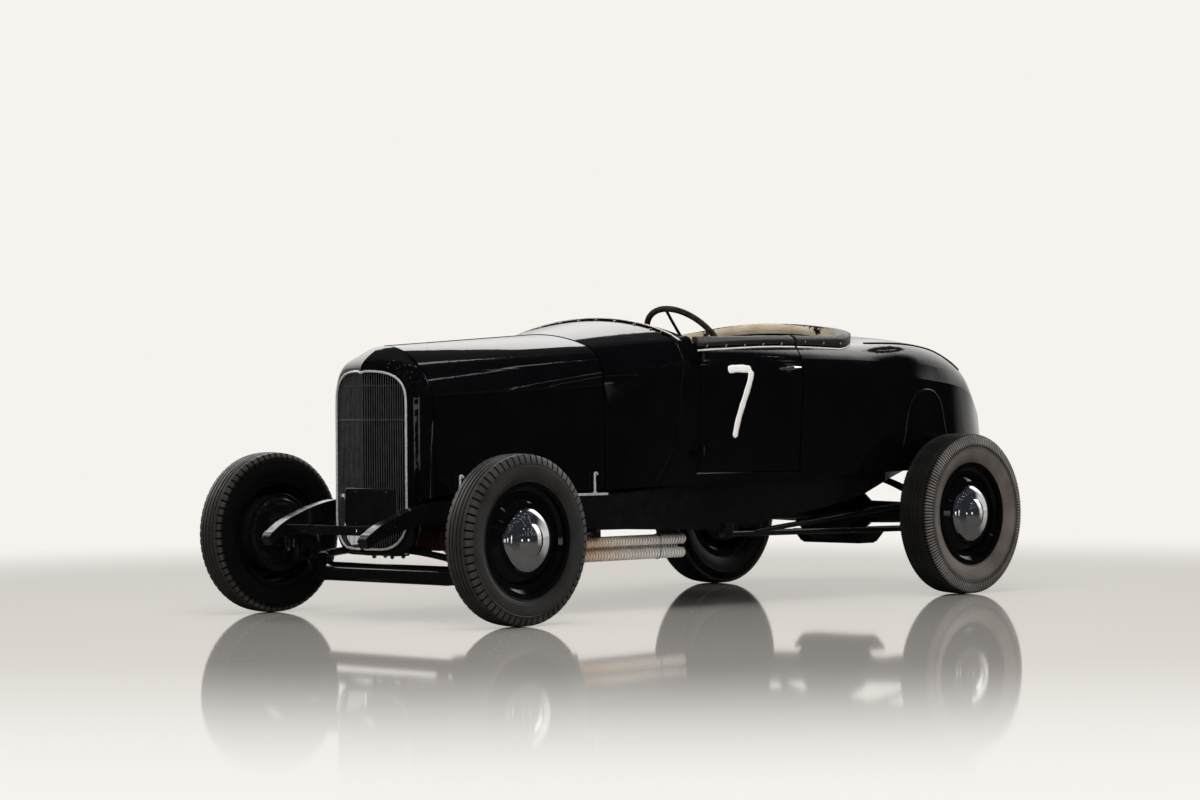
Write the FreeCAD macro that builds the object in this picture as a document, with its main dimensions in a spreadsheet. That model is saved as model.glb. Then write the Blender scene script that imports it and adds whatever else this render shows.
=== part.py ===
# Open hot rod roadster: ladder frame, dropped front axle, arched hood, hollow steel body.
# X runs to the car's left, Y rearwards, Z up. Stations are measured back from the front axle,
# and the finished model is moved forward so that its origin lies under the middle of its box.
import FreeCAD, Part, Sketcher
import math, os, re

doc = FreeCAD.newDocument("hot_rod")
V = FreeCAD.Vector

# ---------------------------------------------------------------- driving sizes, mm
SIZES = [
    # overall layout
    ("wheelbase", 2692), ("origin_station", 1448), ("front_track", 1430), ("rear_track", 1442),
    ("seam", 5), ("door_gap", 9), ("fit", 0.3),
    # tyres and wheels
    ("front_tyre_radius", 324), ("front_tyre_width", 136), ("rear_tyre_radius", 348),
    ("rear_tyre_width", 163), ("bead_radius", 206), ("rim_radius", 219), ("rim_width", 124),
    ("cap_radius", 121), ("cap_height", 46), ("hub_face", 44),
    ("drum_radius", 150), ("drum_depth", 92), ("spindle_radius", 19),
    # front suspension
    ("kingpin_inset", 112), ("kingpin_radius", 10), ("boss_radius", 27), ("boss_height", 84),
    ("beam_depth", 50), ("beam_width", 46), ("beam_drop_height", 167), ("arm_length", 125),
    ("tie_rod_height", 195), ("rod_radius", 11),
    # frame
    ("rail_wall", 48),
    # body
    ("panel", 22), ("hood_start", -15), ("cowl_start", 800), ("door_start", 1150),
    ("door_end", 1770), ("cockpit_end", 2215), ("cockpit_half_width", 556),
    # steering
    ("steering_wheel_radius", 198), ("steering_rim_radius", 13), ("column_radius", 19),
    ("driver_side", 330), ("wheel_station", 1356), ("wheel_height", 1079), ("wheel_tilt", 40),
]
sheet = doc.addObject("Spreadsheet::Sheet", "sizes")
for row, (name, value) in enumerate(SIZES, start=1):
    sheet.set("A%d" % row, name)
    sheet.set("B%d" % row, str(value))
    sheet.setAlias("B%d" % row, name)
doc.recompute()


def bound(text):
    """An expression in size names, written for the expression engine."""
    return re.sub(r"(?<![\w.])([a-z][a-z_]*)", lambda m: m.group(0) if m.group(1) in
                  ("sin", "cos", "tan", "sqrt", "min", "max") else "sizes." + m.group(1), str(text))


def num(text):
    """The present value of an expression in size names."""
    if isinstance(text, (int, float)):
        return float(text)
    return float(sheet.evalExpression(bound(text)))


def bind(thing, prop, text):
    if isinstance(text, (int, float)):
        text = repr(float(text))
    thing.setExpression(prop, bound(text))


NODES = {}


def node(thing, label, x=0, y=0, z=0, turn=None):
    """Name a finished sub-part and place it, with y as a station behind the front axle."""
    thing.Label = label
    if turn is not None:
        thing.Placement.Rotation = turn
    bind(thing, ".Placement.Base.x", x)
    bind(thing, ".Placement.Base.y", "(%s) - origin_station" % y)
    bind(thing, ".Placement.Base.z", z)
    NODES[label] = thing
    return thing


def mirrored(left, label):
    """The same piece on the other side of the car."""
    twin = doc.addObject("Part::Mirroring", label)
    twin.Source = left
    twin.Normal = V(1, 0, 0)
    twin.Label = label
    NODES[label] = twin
    return twin


# ---------------------------------------------------------------- ways of making pieces
def new_body(name):
    return doc.addObject("PartDesign::Body", "body_" + name)


def outline(body, plane, points, name="outline"):
    """A closed sketch on one of the body's own planes. A point is (u, v) or (u, v, radius): the
    radius bends the edge to the next point, positive when its centre is on the left."""
    sketch = body.newObject("Sketcher::SketchObject", name)
    support = [f for f in body.Origin.OriginFeatures if f.Role == plane][0]
    sketch.AttachmentSupport = [(support, "")]
    sketch.MapMode = "FlatFace"
    spots = [V(num(p[0]), num(p[1]), 0) for p in points]
    count = len(points)
    for i, p in enumerate(points):
        a, b = spots[i], spots[(i + 1) % count]
        if len(p) > 2:
            r = num(p[2])
            chord, mid = b - a, (a + b) * 0.5
            left = V(-chord.y, chord.x, 0) / chord.Length
            centre = mid + left * math.copysign(math.sqrt(r * r - chord.Length ** 2 / 4), r)
            start = math.atan2(a.y - centre.y, a.x - centre.x)
            end = math.atan2(b.y - centre.y, b.x - centre.x)
            if r < 0:
                start, end = end, start
            while end < start:
                end += 2 * math.pi
            sketch.addGeometry(Part.ArcOfCircle(Part.Circle(centre, V(0, 0, 1), abs(r)), start, end))
        else:
            sketch.addGeometry(Part.LineSegment(a, b))
    for i in range(count):                       # ends meet, and every corner is bound to its sizes
        j = (i + 1) % count
        first = 1 if len(points[i]) > 2 and num(points[i][2]) < 0 else 2
        second = 2 if len(points[j]) > 2 and num(points[j][2]) < 0 else 1
        sketch.addConstraint(Sketcher.Constraint("Coincident", i, first, j, second))
    for i, p in enumerate(points):
        start = 2 if len(p) > 2 and num(p[2]) < 0 else 1
        for kind, text in (("DistanceX", p[0]), ("DistanceY", p[1])):
            n = sketch.addConstraint(Sketcher.Constraint(kind, -1, 1, i, start, num(text)))
            if isinstance(text, str):
                bind(sketch, "Constraints[%d]" % n, text)
        if len(p) > 2:
            n = sketch.addConstraint(Sketcher.Constraint("Radius", i, abs(num(p[2]))))
            if isinstance(p[2], str):
                bind(sketch, "Constraints[%d]" % n, p[2].lstrip("-"))
    return sketch


def pad(body, sketch, length, both=False, back=False, kind="Pad"):
    made = body.newObject("PartDesign::" + kind, kind.lower())
    made.Profile = sketch
    bind(made, "Length", length)
    made.Midplane = both
    made.Reversed = back
    return made


def turned(body, points, kind="Revolution"):
    """A piece turned about its own X axis, from points (along the axis, radius)."""
    sketch = outline(body, "XY_Plane", points)
    made = body.newObject("PartDesign::" + kind, kind.lower())
    made.Profile = sketch
    made.ReferenceAxis = (sketch, ["H_Axis"])
    made.Angle = 360
    return made


def box(x, y, z, dx, dy, dz):
    """A block from its low corner, with y as a station."""
    made = doc.addObject("Part::Box", "block")
    for prop, text in (("Length", dx), ("Width", dy), ("Height", dz), (".Placement.Base.x", x),
                       (".Placement.Base.y", y), (".Placement.Base.z", z)):
        bind(made, prop, text)
    return made


AXES = {
    "x": FreeCAD.Rotation(V(0, 1, 0), 90),
    "y": FreeCAD.Rotation(V(1, 0, 0), -90),
    "z": FreeCAD.Rotation(),
}


def rod(x, y, z, radius, length, axis="z"):
    """A round bar from the centre of its first end."""
    made = doc.addObject("Part::Cylinder", "bar")
    made.Placement.Rotation = AXES[axis]
    for prop, text in (("Radius", radius), ("Height", length), (".Placement.Base.x", x),
                       (".Placement.Base.y", y), (".Placement.Base.z", z)):
        bind(made, prop, text)
    return made


def joined(*things):
    made = doc.addObject("Part::MultiFuse", "joined")
    made.Shapes = list(things)
    return made


def cut(base, *tools):
    made = doc.addObject("Part::Cut", "cut")
    made.Base = base
    made.Tool = tools[0] if len(tools) == 1 else joined(*tools)
    return made


def common(a, b):
    made = doc.addObject("Part::MultiCommon", "common")
    made.Shapes = [a, b]
    return made


def shape(made_shape):
    made = doc.addObject("Part::Feature", "formed")
    made.Shape = made_shape
    return made


def tube_between(a, b, radius):
    """A straight round bar between two points."""
    a, b = V(*[num(c) for c in a]), V(*[num(c) for c in b])
    return Part.makeCylinder(num(radius), (b - a).Length, a, b - a)


def wire(points):
    """A closed wire of lines and arcs: a point is (x, y, z), an arc's middle is ("via", x, y, z)."""
    edges, i = [], 0
    ring = points + [points[0]]
    while i < len(ring) - 1:
        a = V(*ring[i])
        if ring[i + 1][0] == "via":
            edges.append(Part.Arc(a, V(*ring[i + 1][1:]), V(*ring[i + 2])).toShape())
            i += 2
        else:
            edges.append(Part.LineSegment(a, V(*ring[i + 1])).toShape())
            i += 1
    return Part.Wire(edges)


# ---------------------------------------------------------------- wheels, tyres, drums, caps
def wheel_set(corner, tyre_radius, tyre_width, side, x, y):
    """One corner's tyre, disc wheel, hub cap and brake drum. They turn about X, with the outer
    face towards +X on the left of the car and towards -X on the right."""
    turn = FreeCAD.Rotation(V(0, 0, 1), 0 if side > 0 else 180)
    half = "%s / 2" % tyre_width

    tyre = new_body("tyre")
    bead, foot, tread = "rim_width / 2 - 4 - fit", "rim_radius + 2", "%s - 14" % half
    crown = "%s - 4" % tyre_radius
    bulge = "(%s - (%s + %s) / 2)" % (half, bead, tread)
    wall_bend = "(((%s - %s) / 2) ^ 2 + %s ^ 2) / (2 * %s)" % (crown, foot, bulge, bulge)
    turned(tyre, [("-(%s)" % bead, "bead_radius"), (bead, "bead_radius"), (bead, foot, wall_bend),
                  (tread, crown, "((%s) ^ 2 + 16) / 8" % tread), ("-(%s)" % tread, crown, wall_bend),
                  ("-(%s)" % bead, foot)])
    node(tyre, "tyre_" + corner, x, y, tyre_radius, turn)

    wheel = new_body("wheel")
    edge = "rim_width / 2"
    turned(wheel, [
        (edge, "rim_radius"), ("%s - 4" % edge, "rim_radius"), ("%s - 4" % edge, "bead_radius - fit"),
        (34, "bead_radius - fit"), (28, 190), (-28, 190), (-34, "bead_radius - fit"),
        ("-(%s) + 4" % edge, "bead_radius - fit"), ("-(%s) + 4" % edge, "rim_radius"),
        ("-(%s)" % edge, "rim_radius"), ("-(%s)" % edge, "bead_radius - 5"), (-36, "bead_radius - 5"),
        (-30, 185), (24, 185), (24, 164), (34, 148), ("hub_face", 134), ("hub_face", 60),
        ("hub_face + 6", 60), ("hub_face + 6", 140), (41, 153), (31, 168), (31, 186),
        (40, "bead_radius - 5"), (edge, "bead_radius - 5")])
    node(wheel, "wheel_" + corner, x, y, tyre_radius, turn)

    cap = new_body("cap")
    face = "hub_face + 6"
    dome = "-(62 ^ 2 + (cap_height - 26) ^ 2) / (2 * (cap_height - 26))"
    turned(cap, [(face, 95), (face, "cap_radius"), ("%s + 8" % face, "cap_radius - 4", -60),
                 ("%s + 20" % face, 90), ("%s + 26" % face, 62, dome),
                 ("%s + cap_height" % face, 0), ("%s + cap_height - 4" % face, 0),
                 ("%s + 20" % face, 58), ("%s + 14" % face, 88)])
    node(cap, "hub_cap_" + corner, x, y, tyre_radius, turn)

    drum = new_body("drum")
    inner = "hub_face - drum_depth"
    turned(drum, [
        ("hub_face - 8", 0), ("hub_face + 12", 0), ("hub_face + 12", 30), ("hub_face", 34),
        ("hub_face", 124), ("hub_face - 22", 124), ("hub_face - 26", "drum_radius"),
        (inner, "drum_radius"), (inner, "drum_radius - 8"), ("hub_face - 34", "drum_radius - 8"),
        ("hub_face - 30", 116), ("hub_face - 10", 112), ("hub_face - 10", 44), (-24, 44),
        (-24, "spindle_radius + fit"), ("hub_face - 8", "spindle_radius + fit")])
    node(drum, "drum_" + corner, x, y, tyre_radius, turn)


for corner, end, side in (("front_left", "front", 1), ("front_right", "front", -1),
                          ("rear_left", "rear", 1), ("rear_right", "rear", -1)):
    wheel_set(corner, end + "_tyre_radius", end + "_tyre_width", side,
              "%d * %s_track / 2" % (side, end), "0" if end == "front" else "wheelbase")

# ---------------------------------------------------------------- steering knuckles and tie rod
PIVOT = "front_track / 2 - kingpin_inset"
plate_x = "front_track / 2 + hub_face - drum_depth - 7"
knuckle = joined(
    rod(PIVOT, 0, "front_tyre_radius - boss_height / 2 - 18", "kingpin_radius", "boss_height + 36"),
    rod(PIVOT, 0, "front_tyre_radius + boss_height / 2 + 2", "boss_radius - 3", 16),
    rod(PIVOT, 0, "front_tyre_radius - boss_height / 2 - 18", "boss_radius - 3", 16),
    box(PIVOT, -20, "front_tyre_radius + boss_height / 2 + 2", "kingpin_inset - 56", 40, 16),
    box(PIVOT, -20, "front_tyre_radius - boss_height / 2 - 18", "kingpin_inset - 56", 40, 16),
    box("%s + boss_radius + 5" % PIVOT, -24, "front_tyre_radius - boss_height / 2 - 18", 22, 48,
        "boss_height + 36"),
    rod("%s + boss_radius + 5" % PIVOT, 0, "front_tyre_radius", 34,
        "kingpin_inset - boss_radius - 5 - 50", "x"),
    rod("%s + boss_radius + 5" % PIVOT, 0, "front_tyre_radius", "spindle_radius",
        "kingpin_inset - boss_radius - 5 + hub_face - 8 - fit", "x"),
    rod(plate_x, 0, "front_tyre_radius", "drum_radius + 2", 5, "x"),
    box("%s - 16" % PIVOT, 18, "tie_rod_height + 14", 32, 20,
        "front_tyre_radius - boss_height / 2 - tie_rod_height - 16"),
    box("%s - 16" % PIVOT, 18, "tie_rod_height + 14", 32, "arm_length - 4", 14))
node(knuckle, "knuckle_left")
mirrored(knuckle, "knuckle_right")

tie_rod = joined(
    rod("-(%s)" % PIVOT, "arm_length", "tie_rod_height", "rod_radius", "2 * (%s)" % PIVOT, "x"),
    rod(PIVOT, "arm_length", "tie_rod_height - 15", 15, "29 - fit"),
    rod("-(%s)" % PIVOT, "arm_length", "tie_rod_height - 15", 15, "29 - fit"))
node(tie_rod, "tie_rod")

# ---------------------------------------------------------------- dropped I-beam front axle
# The beam hangs low between the wheels and sweeps up to a boss at each king pin. Both faces are
# recessed between a top and a bottom flange.
low, top = "beam_drop_height - beam_depth / 2", "beam_drop_height + beam_depth / 2"
eye_low, eye_top = "front_tyre_radius - 24", "front_tyre_radius + 24"
steep = "0.56 * sqrt(107 ^ 2 + (front_tyre_radius - beam_drop_height - 27) ^ 2)"


def beam_side(name, ends, tips, flange, depth):
    """The beam's side view, in from its edges by a flange, swept along the car."""
    body = new_body(name)
    side, bend_low, bend_top = 0.77 * flange, "beam_drop_height + 6", "beam_drop_height + 52"
    points = [(-545, "%s + %g" % (eye_low, flange), "-" + steep),
              (side - 440, "%s + %g" % (bend_low, 0.64 * flange), 160),
              (-330, "%s + %g" % (low, flange)),
              (330, "%s + %g" % (low, flange), 160),
              (440 - side, "%s + %g" % (bend_low, 0.64 * flange), "-" + steep),
              (545, "%s + %g" % (eye_low, flange))]
    points += [(ends, "%s + %g" % (eye_low, flange))] if tips else []
    points += [(ends, "%s - %g" % (eye_top, flange))] if tips else []
    points += [(520, "%s - %g" % (eye_top, flange), steep),
               (415 - side, "%s - %g" % (bend_top, 0.64 * flange), -150),
               (320, "%s - %g" % (top, flange)),
               (-320, "%s - %g" % (top, flange), -150),
               (side - 415, "%s - %g" % (bend_top, 0.64 * flange), steep),
               (-520, "%s - %g" % (eye_top, flange))]
    if tips:
        points += [("-(%s)" % ends, "%s - %g" % (eye_top, flange)),
                   ("-(%s)" % ends, "%s + %g" % (eye_low, flange))]
    pad(body, outline(body, "XZ_Plane", points), depth, both=True)
    return body


solid_beam = beam_side("axle", "%s - boss_radius + 6" % PIVOT, True, 0, "beam_width")
recess = cut(beam_side("axle_recess", 0, False, 9, "beam_width + 4"), box(-620, -8, 0, 1240, 16, 600))
beam = cut(solid_beam, recess)
bosses = [cut(rod(x, 0, "front_tyre_radius - boss_height / 2", "boss_radius", "boss_height"),
              rod(x, 0, "front_tyre_radius - boss_height", "kingpin_radius + fit", "2 * boss_height"))
          for x in (PIVOT, "-(%s)" % PIVOT)]
perches = [box("%d * 400 - 12" % s, -20, 200, 24, 40, 25.7) for s in (1, -1)]
node(joined(beam, *(bosses + perches)), "front_axle")

# ---------------------------------------------------------------- frame
# Each rail is its side view swept across the car, trimmed to its plan view.
rail_side = new_body("rail_side")
pad(rail_side, outline(rail_side, "YZ_Plane", [
    (-376, 294), (-388, 320, -40), (-362, 350, -400), (-240, 410, -900), (-28, 462), (168, 464),
    (795, 470), (1150, 500), (1400, 522), (2080, 534), ("wheelbase - 362", 572),
    ("wheelbase - 132", 628), ("wheelbase + 138", 628), ("wheelbase + 318", 590),
    ("wheelbase + 498", 520), ("wheelbase + 498", 460), ("wheelbase + 298", 500),
    ("wheelbase + 138", 536), ("wheelbase - 122", 536), ("wheelbase - 297", 498),
    ("wheelbase - 467", 437), (1960, 390), (1670, 352), (1359, 316), (1000, 326), (500, 344),
    (60, 384), (-100, 386, 700), (-201, 358, 900), (-345, 314)]), 620)
rail_plan = new_body("rail_plan")
pad(rail_plan, outline(rail_plan, "XY_Plane", [
    (254, -400), (302, -400), (330, 0), (382, 500), (412, 800), (502, 1200), (545, 1600), (556, 2050),
    (552, "wheelbase - 312"), (470, "wheelbase + 28"), (430, "wheelbase + 308"),
    (384, "wheelbase + 508"), (336, "wheelbase + 508"), ("430 - rail_wall", "wheelbase + 308"),
    ("470 - rail_wall", "wheelbase + 28"), ("552 - rail_wall", "wheelbase - 312"),
    ("556 - rail_wall", 2050),
    ("545 - rail_wall", 1600), ("502 - rail_wall", 1200), ("412 - rail_wall", 800),
    ("382 - rail_wall", 500), ("330 - rail_wall", 0)]), 700)
rail = common(rail_side, rail_plan)
other_rail = mirrored(rail, "rail_twin")
del NODES["rail_twin"]
rails = joined(rail, other_rail)
node(joined(rail, other_rail), "side_rails")

members = [cut(joined(box(-300, -46, 372, 600, 92, 52), box(-80, -46, 298, 160, 92, 92)), rails),
           cut(box(-490, 1350, 446, 980, 70, 54), rails),
           cut(box(-450, "wheelbase + 8", 560, 900, 80, 50), rails)]
node(joined(*members), "crossmembers")
holes = [rod(x, -315, 356, 8, 40, "y") for x in (-150, 150)]
node(cut(box(-280, -305, 338, 560, 10, 36), rails, *holes), "spreader_bar")


def leaf_pack(reach, drop, base, leaves, thick, width):
    """A transverse leaf spring, high in the middle, its leaves shorter towards the top."""
    strips = []
    for k in range(leaves):
        half = reach * (1 - 0.22 * k)
        radius = (reach ** 2 + drop ** 2) / (2 * drop) + k * thick
        low = base + k * thick - (radius - math.sqrt(radius ** 2 - half ** 2))
        strip = new_body("leaf")
        pad(strip, outline(strip, "XZ_Plane", [
            (-half, low, -radius), (half, low), (half, low + thick, radius + thick),
            (-half, low + thick)]), width, both=True)
        strips.append(strip)
    return joined(*strips)


node(leaf_pack(400, 36, 262, 4, 9, 44), "front_spring")
node(leaf_pack(440, 110, 515, 5, 9, 50), "rear_spring", y="wheelbase + 53")

rods = [shape(tube_between((s * 472, 0, 233), (s * 388, 740, 318), 14)
              .cut(Part.makeBox(1200, 60, 400, V(-600, -60 + 23.3, 0)))) for s in (1, -1)]
eyes = [cut(box(s * 388 - 16, 720, 300, 32, 50, 60), rails) for s in (1, -1)]
node(joined(*(rods + eyes)), "radius_rods")

# ---------------------------------------------------------------- rear axle and its bars
housing = new_body("housing")
drum_back = "rear_track / 2 + hub_face - drum_depth"
turned(housing, [
    ("-(%s) + 7" % drum_back, 0), ("-(%s) + 7" % drum_back, 40), (-210, 50), (-120, 112), (-62, 142),
    (62, 142), (120, 112), (210, 50), ("%s - 7" % drum_back, 40), ("%s - 7" % drum_back, 0)])
stubs = [rod("%s - 8" % drum_back, 0, 0, "spindle_radius", "drum_depth - fit", "x"),
         rod("-(%s) - drum_depth + 8 + fit" % drum_back, 0, 0, "spindle_radius",
             "drum_depth - fit", "x")]
plates = [rod("%s - 7" % drum_back, 0, 0, "drum_radius + 2", 5, "x"),
          rod("-(%s) + 2" % drum_back, 0, 0, "drum_radius + 2", 5, "x")]
torque_tube = shape(tube_between((0, -1510, 48), (0, -100, 2), 36))
perches = [box("%d * 440 - 14" % s, 0, 0, 28, 78, 56.7) for s in (1, -1)]
node(joined(housing, torque_tube, *(stubs + plates + perches)), "rear_axle", y="wheelbase",
     z="rear_tyre_radius")

bars = []
for s in (1, -1):
    bars += [shape(tube_between((s * 520, 1390, 298), (s * 500, "wheelbase - 32", 282), 13)),
             shape(tube_between((s * 520, 1560, 302), (s * 500, "wheelbase - 32", 392), 11)),
             cut(box(s * 500 - 8, "wheelbase - 62", 262, 16, 130, 165),
                 rod(-600, "wheelbase", "rear_tyre_radius", 44, 1200, "x")),
             cut(box(s * 520 - 16, 1366, 282, 32, 48, 60), rails)]
node(joined(*bars), "ladder_bars")

# ---------------------------------------------------------------- engine, gearbox, radiator
engine = joined(box(-215, 130, 340, 430, 570, 520), box(-120, 160, 262, 240, 470, 90),
                box(-105, 690, 322, 210, 478, 158),
                cut(box(-370, 650, 392, 740, 50, 34), rails))
node(engine, "engine")
node(box(0, 0, 0, 400, 54, 484), "radiator", -200, -8, 424.3)

# ---------------------------------------------------------------- exhausts
pipes = []
for s in (1, -1):
    for x, z, bend, port in ((336, 278, 700, 400), (336, 222, 660, 270), (288, 250, 760, 530)):
        turn_point = V(s * x, bend, z)
        run = Part.makeCylinder(22, 1322 - bend, turn_point, V(0, 1, 0))
        drop = V(s * 205, port, 430) - turn_point
        pipes.append(run.multiFuse([Part.makeCylinder(22, drop.Length, turn_point, drop),
                                    Part.makeSphere(22.0, turn_point)]))
block = Part.makeBox(430, 600, 560, V(-215, 120, 340))
node(shape(Part.makeCompound([p.cut(block) for p in pipes])), "exhausts")

# ---------------------------------------------------------------- body sections
# Half sections of the skin. Each runs down from the crown in three arcs, one into the next, and
# then straight from the belt crease to the bottom edge.
tail = num("wheelbase")
HOOD = [
    #  station          x_bottom z_bottom x_crease z_crease x_side z_side x_should z_should z_crown
    (num("hood_start"), 289, 484, 270, 868, 219, 958, 150, 1018, 1063),
    (num("cowl_start"), 405, 492, 399, 907, 385, 985, 300, 1067, 1117),
]
COWL = [
    (num("cowl_start"), 408, 492, 402, 910, 388, 988, 303, 1069, 1119),
    (970, 480, 497, 500, 922, 484, 1005, 400, 1087, 1153),
    (num("door_start"), 575, 505, 602, 930, 590, 1012, 505, 1104, 1185),
]
BODY = [
    (num("door_start"), 575, 505, 602, 930, 590, 1012, 505, 1104, 1185),
    (1700, 592, 518, 618, 937, 606, 1016, 520, 1098, 1165),
    (num("cockpit_end"), 592, 530, 614, 940, 604, 1010, 520, 1084, 1136),
    (tail - 42, 590, 540, 610, 925, 598, 990, 511, 1083, 1128),
    (tail + 228, 584, 545, 582, 880, 556, 945, 449, 1025, 1085),
    (tail + 408, 520, 552, 492, 805, 462, 872, 374, 943, 1004),
    (tail + 538, 420, 562, 403, 740, 370, 799, 262, 864, 890),
    (tail + 614, 300, 580, 303, 692, 267, 735, 180, 773, 795),
]
PAD_RISE = (26, 30, 46, 50, 50, 50, 50, 50)


def evened(rows, count=16, ease=0.35):
    """Rows on the smooth line through the given ones, closer together towards the last."""
    steps = [b[0] - a[0] for a, b in zip(rows, rows[1:])]
    made = []
    for k in range(count + 1):
        u = k / count
        y = rows[0][0] + (rows[-1][0] - rows[0][0]) * ((1 + ease) * u - ease * u * u)
        i = max(j for j in range(len(steps)) if j == 0 or rows[j][0] <= y)
        t = (y - rows[i][0]) / steps[i]
        row = [y]
        for c in range(1, len(rows[0])):
            rates = [(b[c] - a[c]) / step for a, b, step in zip(rows, rows[1:], steps)]

            def rate(j):
                if j in (0, len(steps)):
                    return rates[min(j, len(rates) - 1)]
                near, far = steps[j - 1], steps[j]
                return (rates[j - 1] * far + rates[j] * near) / (near + far)

            a, b = rows[i][c], rows[i + 1][c]
            row.append((1 + 2 * t) * (1 - t) ** 2 * a + t * t * (3 - 2 * t) * b
                       + steps[i] * (t * (1 - t) ** 2 * rate(i) - t * t * (1 - t) * rate(i + 1)))
        made.append(tuple(row))
    return made


def spun(v, angle):
    return V(v.x * math.cos(angle) - v.z * math.sin(angle), 0,
             v.x * math.sin(angle) + v.z * math.cos(angle))


def run_on(a, heading, b):
    """Middle, middle heading and last heading of the arc that leaves a along a heading for b."""
    chord = b - a
    bend = math.atan2(heading.x * chord.z - heading.z * chord.x, heading.dot(chord))
    radius = chord.Length / (2 * math.sin(bend))
    centre = a + V(-heading.z, 0, heading.x) * radius
    return centre + spun(a - centre, bend), spun(heading, bend), spun(heading, 2 * bend)


def half_section(row, inset=0.0, deeper=0.0):
    """The section's points in from the skin: crown, shoulder, side, crease, foot and arc middles."""
    y, xb, zb, xc, zc, xm, zm, xs, zs, zt = row
    crown, shoulder, side, crease, foot = [V(x, 0, z) for x, z in (
        (0, zt), (xs, zs), (xm, zm), (xc, zc), (xb, zb))]
    mid_a, head_a, end_a = run_on(crown, V(1, 0, 0), shoulder)
    mid_b, head_b, end_b = run_on(shoulder, end_a, side)
    mid_c, head_c, end_c = run_on(side, end_b, crease)
    last = (foot - crease).normalize()
    n, m = V(end_c.z, 0, -end_c.x), V(last.z, 0, -last.x)
    moved = [p + V(h.z, 0, -h.x) * inset for p, h in (
        (crown, V(1, 0, 0)), (shoulder, end_a), (side, end_b), (foot, last),
        (mid_b, head_b), (mid_c, head_c))]
    crease_in = crease + (n + m) * (inset / (1 + n.dot(m)))
    crown, shoulder, side, foot, mid_b, mid_c = moved
    foot.z = zb - deeper
    return [(p.x, p.z) for p in (foot, crease_in, mid_c, side, mid_b, shoulder, crown)]


def section(row, **how):
    y = row[0]
    foot, crease, mid_c, side, mid_b, shoulder, crown = half_section(row, **how)
    right = [(foot[0], y, foot[1]), (crease[0], y, crease[1]), ("via", mid_c[0], y, mid_c[1]),
             (side[0], y, side[1]), ("via", mid_b[0], y, mid_b[1]), (shoulder[0], y, shoulder[1])]
    left = [p[:-3] + (-p[-3],) + p[-2:] for p in reversed(right)]
    return wire(right + [("via", 0, y, crown[1])] + left)


def skin(rows, **how):
    return Part.makeLoft([section(row, **how) for row in rows], True, False)


def stretched(rows, front=0, rear=0):
    """The same rows with the first one moved forward and the last one rearwards."""
    first, last = rows[0], rows[-1]
    return [(first[0] - front,) + first[1:]] + rows[1:-1] + [(last[0] + rear,) + last[1:]]


def slab(x, y, z, dx, dy, dz):
    return Part.makeBox(dx, dy, dz, V(x, y, z))


def on_side(solid, y, z):
    """The skin's outermost point at a station and height."""
    met = solid.common(Part.makeLine(V(200, y, z), V(900, y, z)))
    return V(max(v.Point.x for v in met.Vertexes), y, z)


def on_top(solid, x, y):
    met = solid.common(Part.makeLine(V(x, y, 900), V(x, y, 1500)))
    return V(x, y, max(v.Point.z for v in met.Vertexes))


def bead(points, radius):
    """A raised half-round line along points on the skin."""
    curve = Part.BSplineCurve()
    curve.interpolate(points)
    ring = Part.Wire(Part.makeCircle(radius, points[0], curve.tangent(curve.FirstParameter)[0]))
    return Part.Wire([curve.toShape()]).makePipeShell([ring], True, True)


def both_sides(thing):
    return [thing, thing.mirror(V(0, 0, 0), V(1, 0, 0))]


T = num("panel")
fit = num("fit")
seam = num("seam")

# hood halves, hinged along the crown, with a bead along the belt crease
length = num("cowl_start") - num("hood_start") - 2 * seam
hood = skin(HOOD).cut(skin(stretched(HOOD, 1, 1), inset=T, deeper=40))
crease = tube_between((270, num("hood_start"), 868), (399, num("cowl_start"), 907), 5)
hood_left = hood.fuse(crease).common(slab(seam / 2, num("hood_start") + seam, 0, 900, length, 2000))
left = shape(hood_left)
node(left, "hood_left")
mirrored(left, "hood_right")
hinge_rod = tube_between((0, num("hood_start") + 0.3, HOOD[0][9]),
                         (0, num("cowl_start") - 0.3, HOOD[1][9]), seam / 2 - 0.3)
node(shape(hinge_rod), "hood_hinge")

# cowl with its firewall, and a bead that drops down the side and sweeps forward at the bottom
cowl_outer = skin(COWL)
cowl_inner = skin(stretched(COWL, 1, 1), inset=T, deeper=40)
firewall_room = slab(-900, num("cowl_start") + T, 0, 1800, 900, 2000)
hoop = [on_top(cowl_outer, x, y) for x, y in (
    (0, 1132), (150, 1131), (300, 1127), (420, 1119), (475, 1115), (522, 1110))]
hoop += [on_side(cowl_outer, y, z) for y, z in (
    (1104, 1076), (1090, 1030), (1080, 930), (1079, 820), (1072, 712), (1040, 610), (990, 515))]
side_bead = bead(hoop[3:], 6)
top_bead = bead([V(-p.x, p.y, p.z) for p in reversed(hoop[1:4])] + hoop[:4], 6)
cowl = cowl_outer.cut(cowl_inner.common(firewall_room))
tilt = math.radians(num("wheel_tilt"))
hub = V(num("driver_side"), num("wheel_station"), num("wheel_height"))
down = V(0, -math.cos(tilt), -math.sin(tilt))
column_hole = Part.makeCylinder(num("column_radius") + fit, 900, hub, down)
dash = cowl_inner.common(slab(-600, 1085, 935, 1200, 14, 400))
clamp = slab(num("driver_side") - 28, 1085, 822, 56, 14, 128).cut(column_hole)
HINGE_X, HINGES, HINGE_TALL = 612, (641, 1017), 17
barrels, straps = [], []
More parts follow.
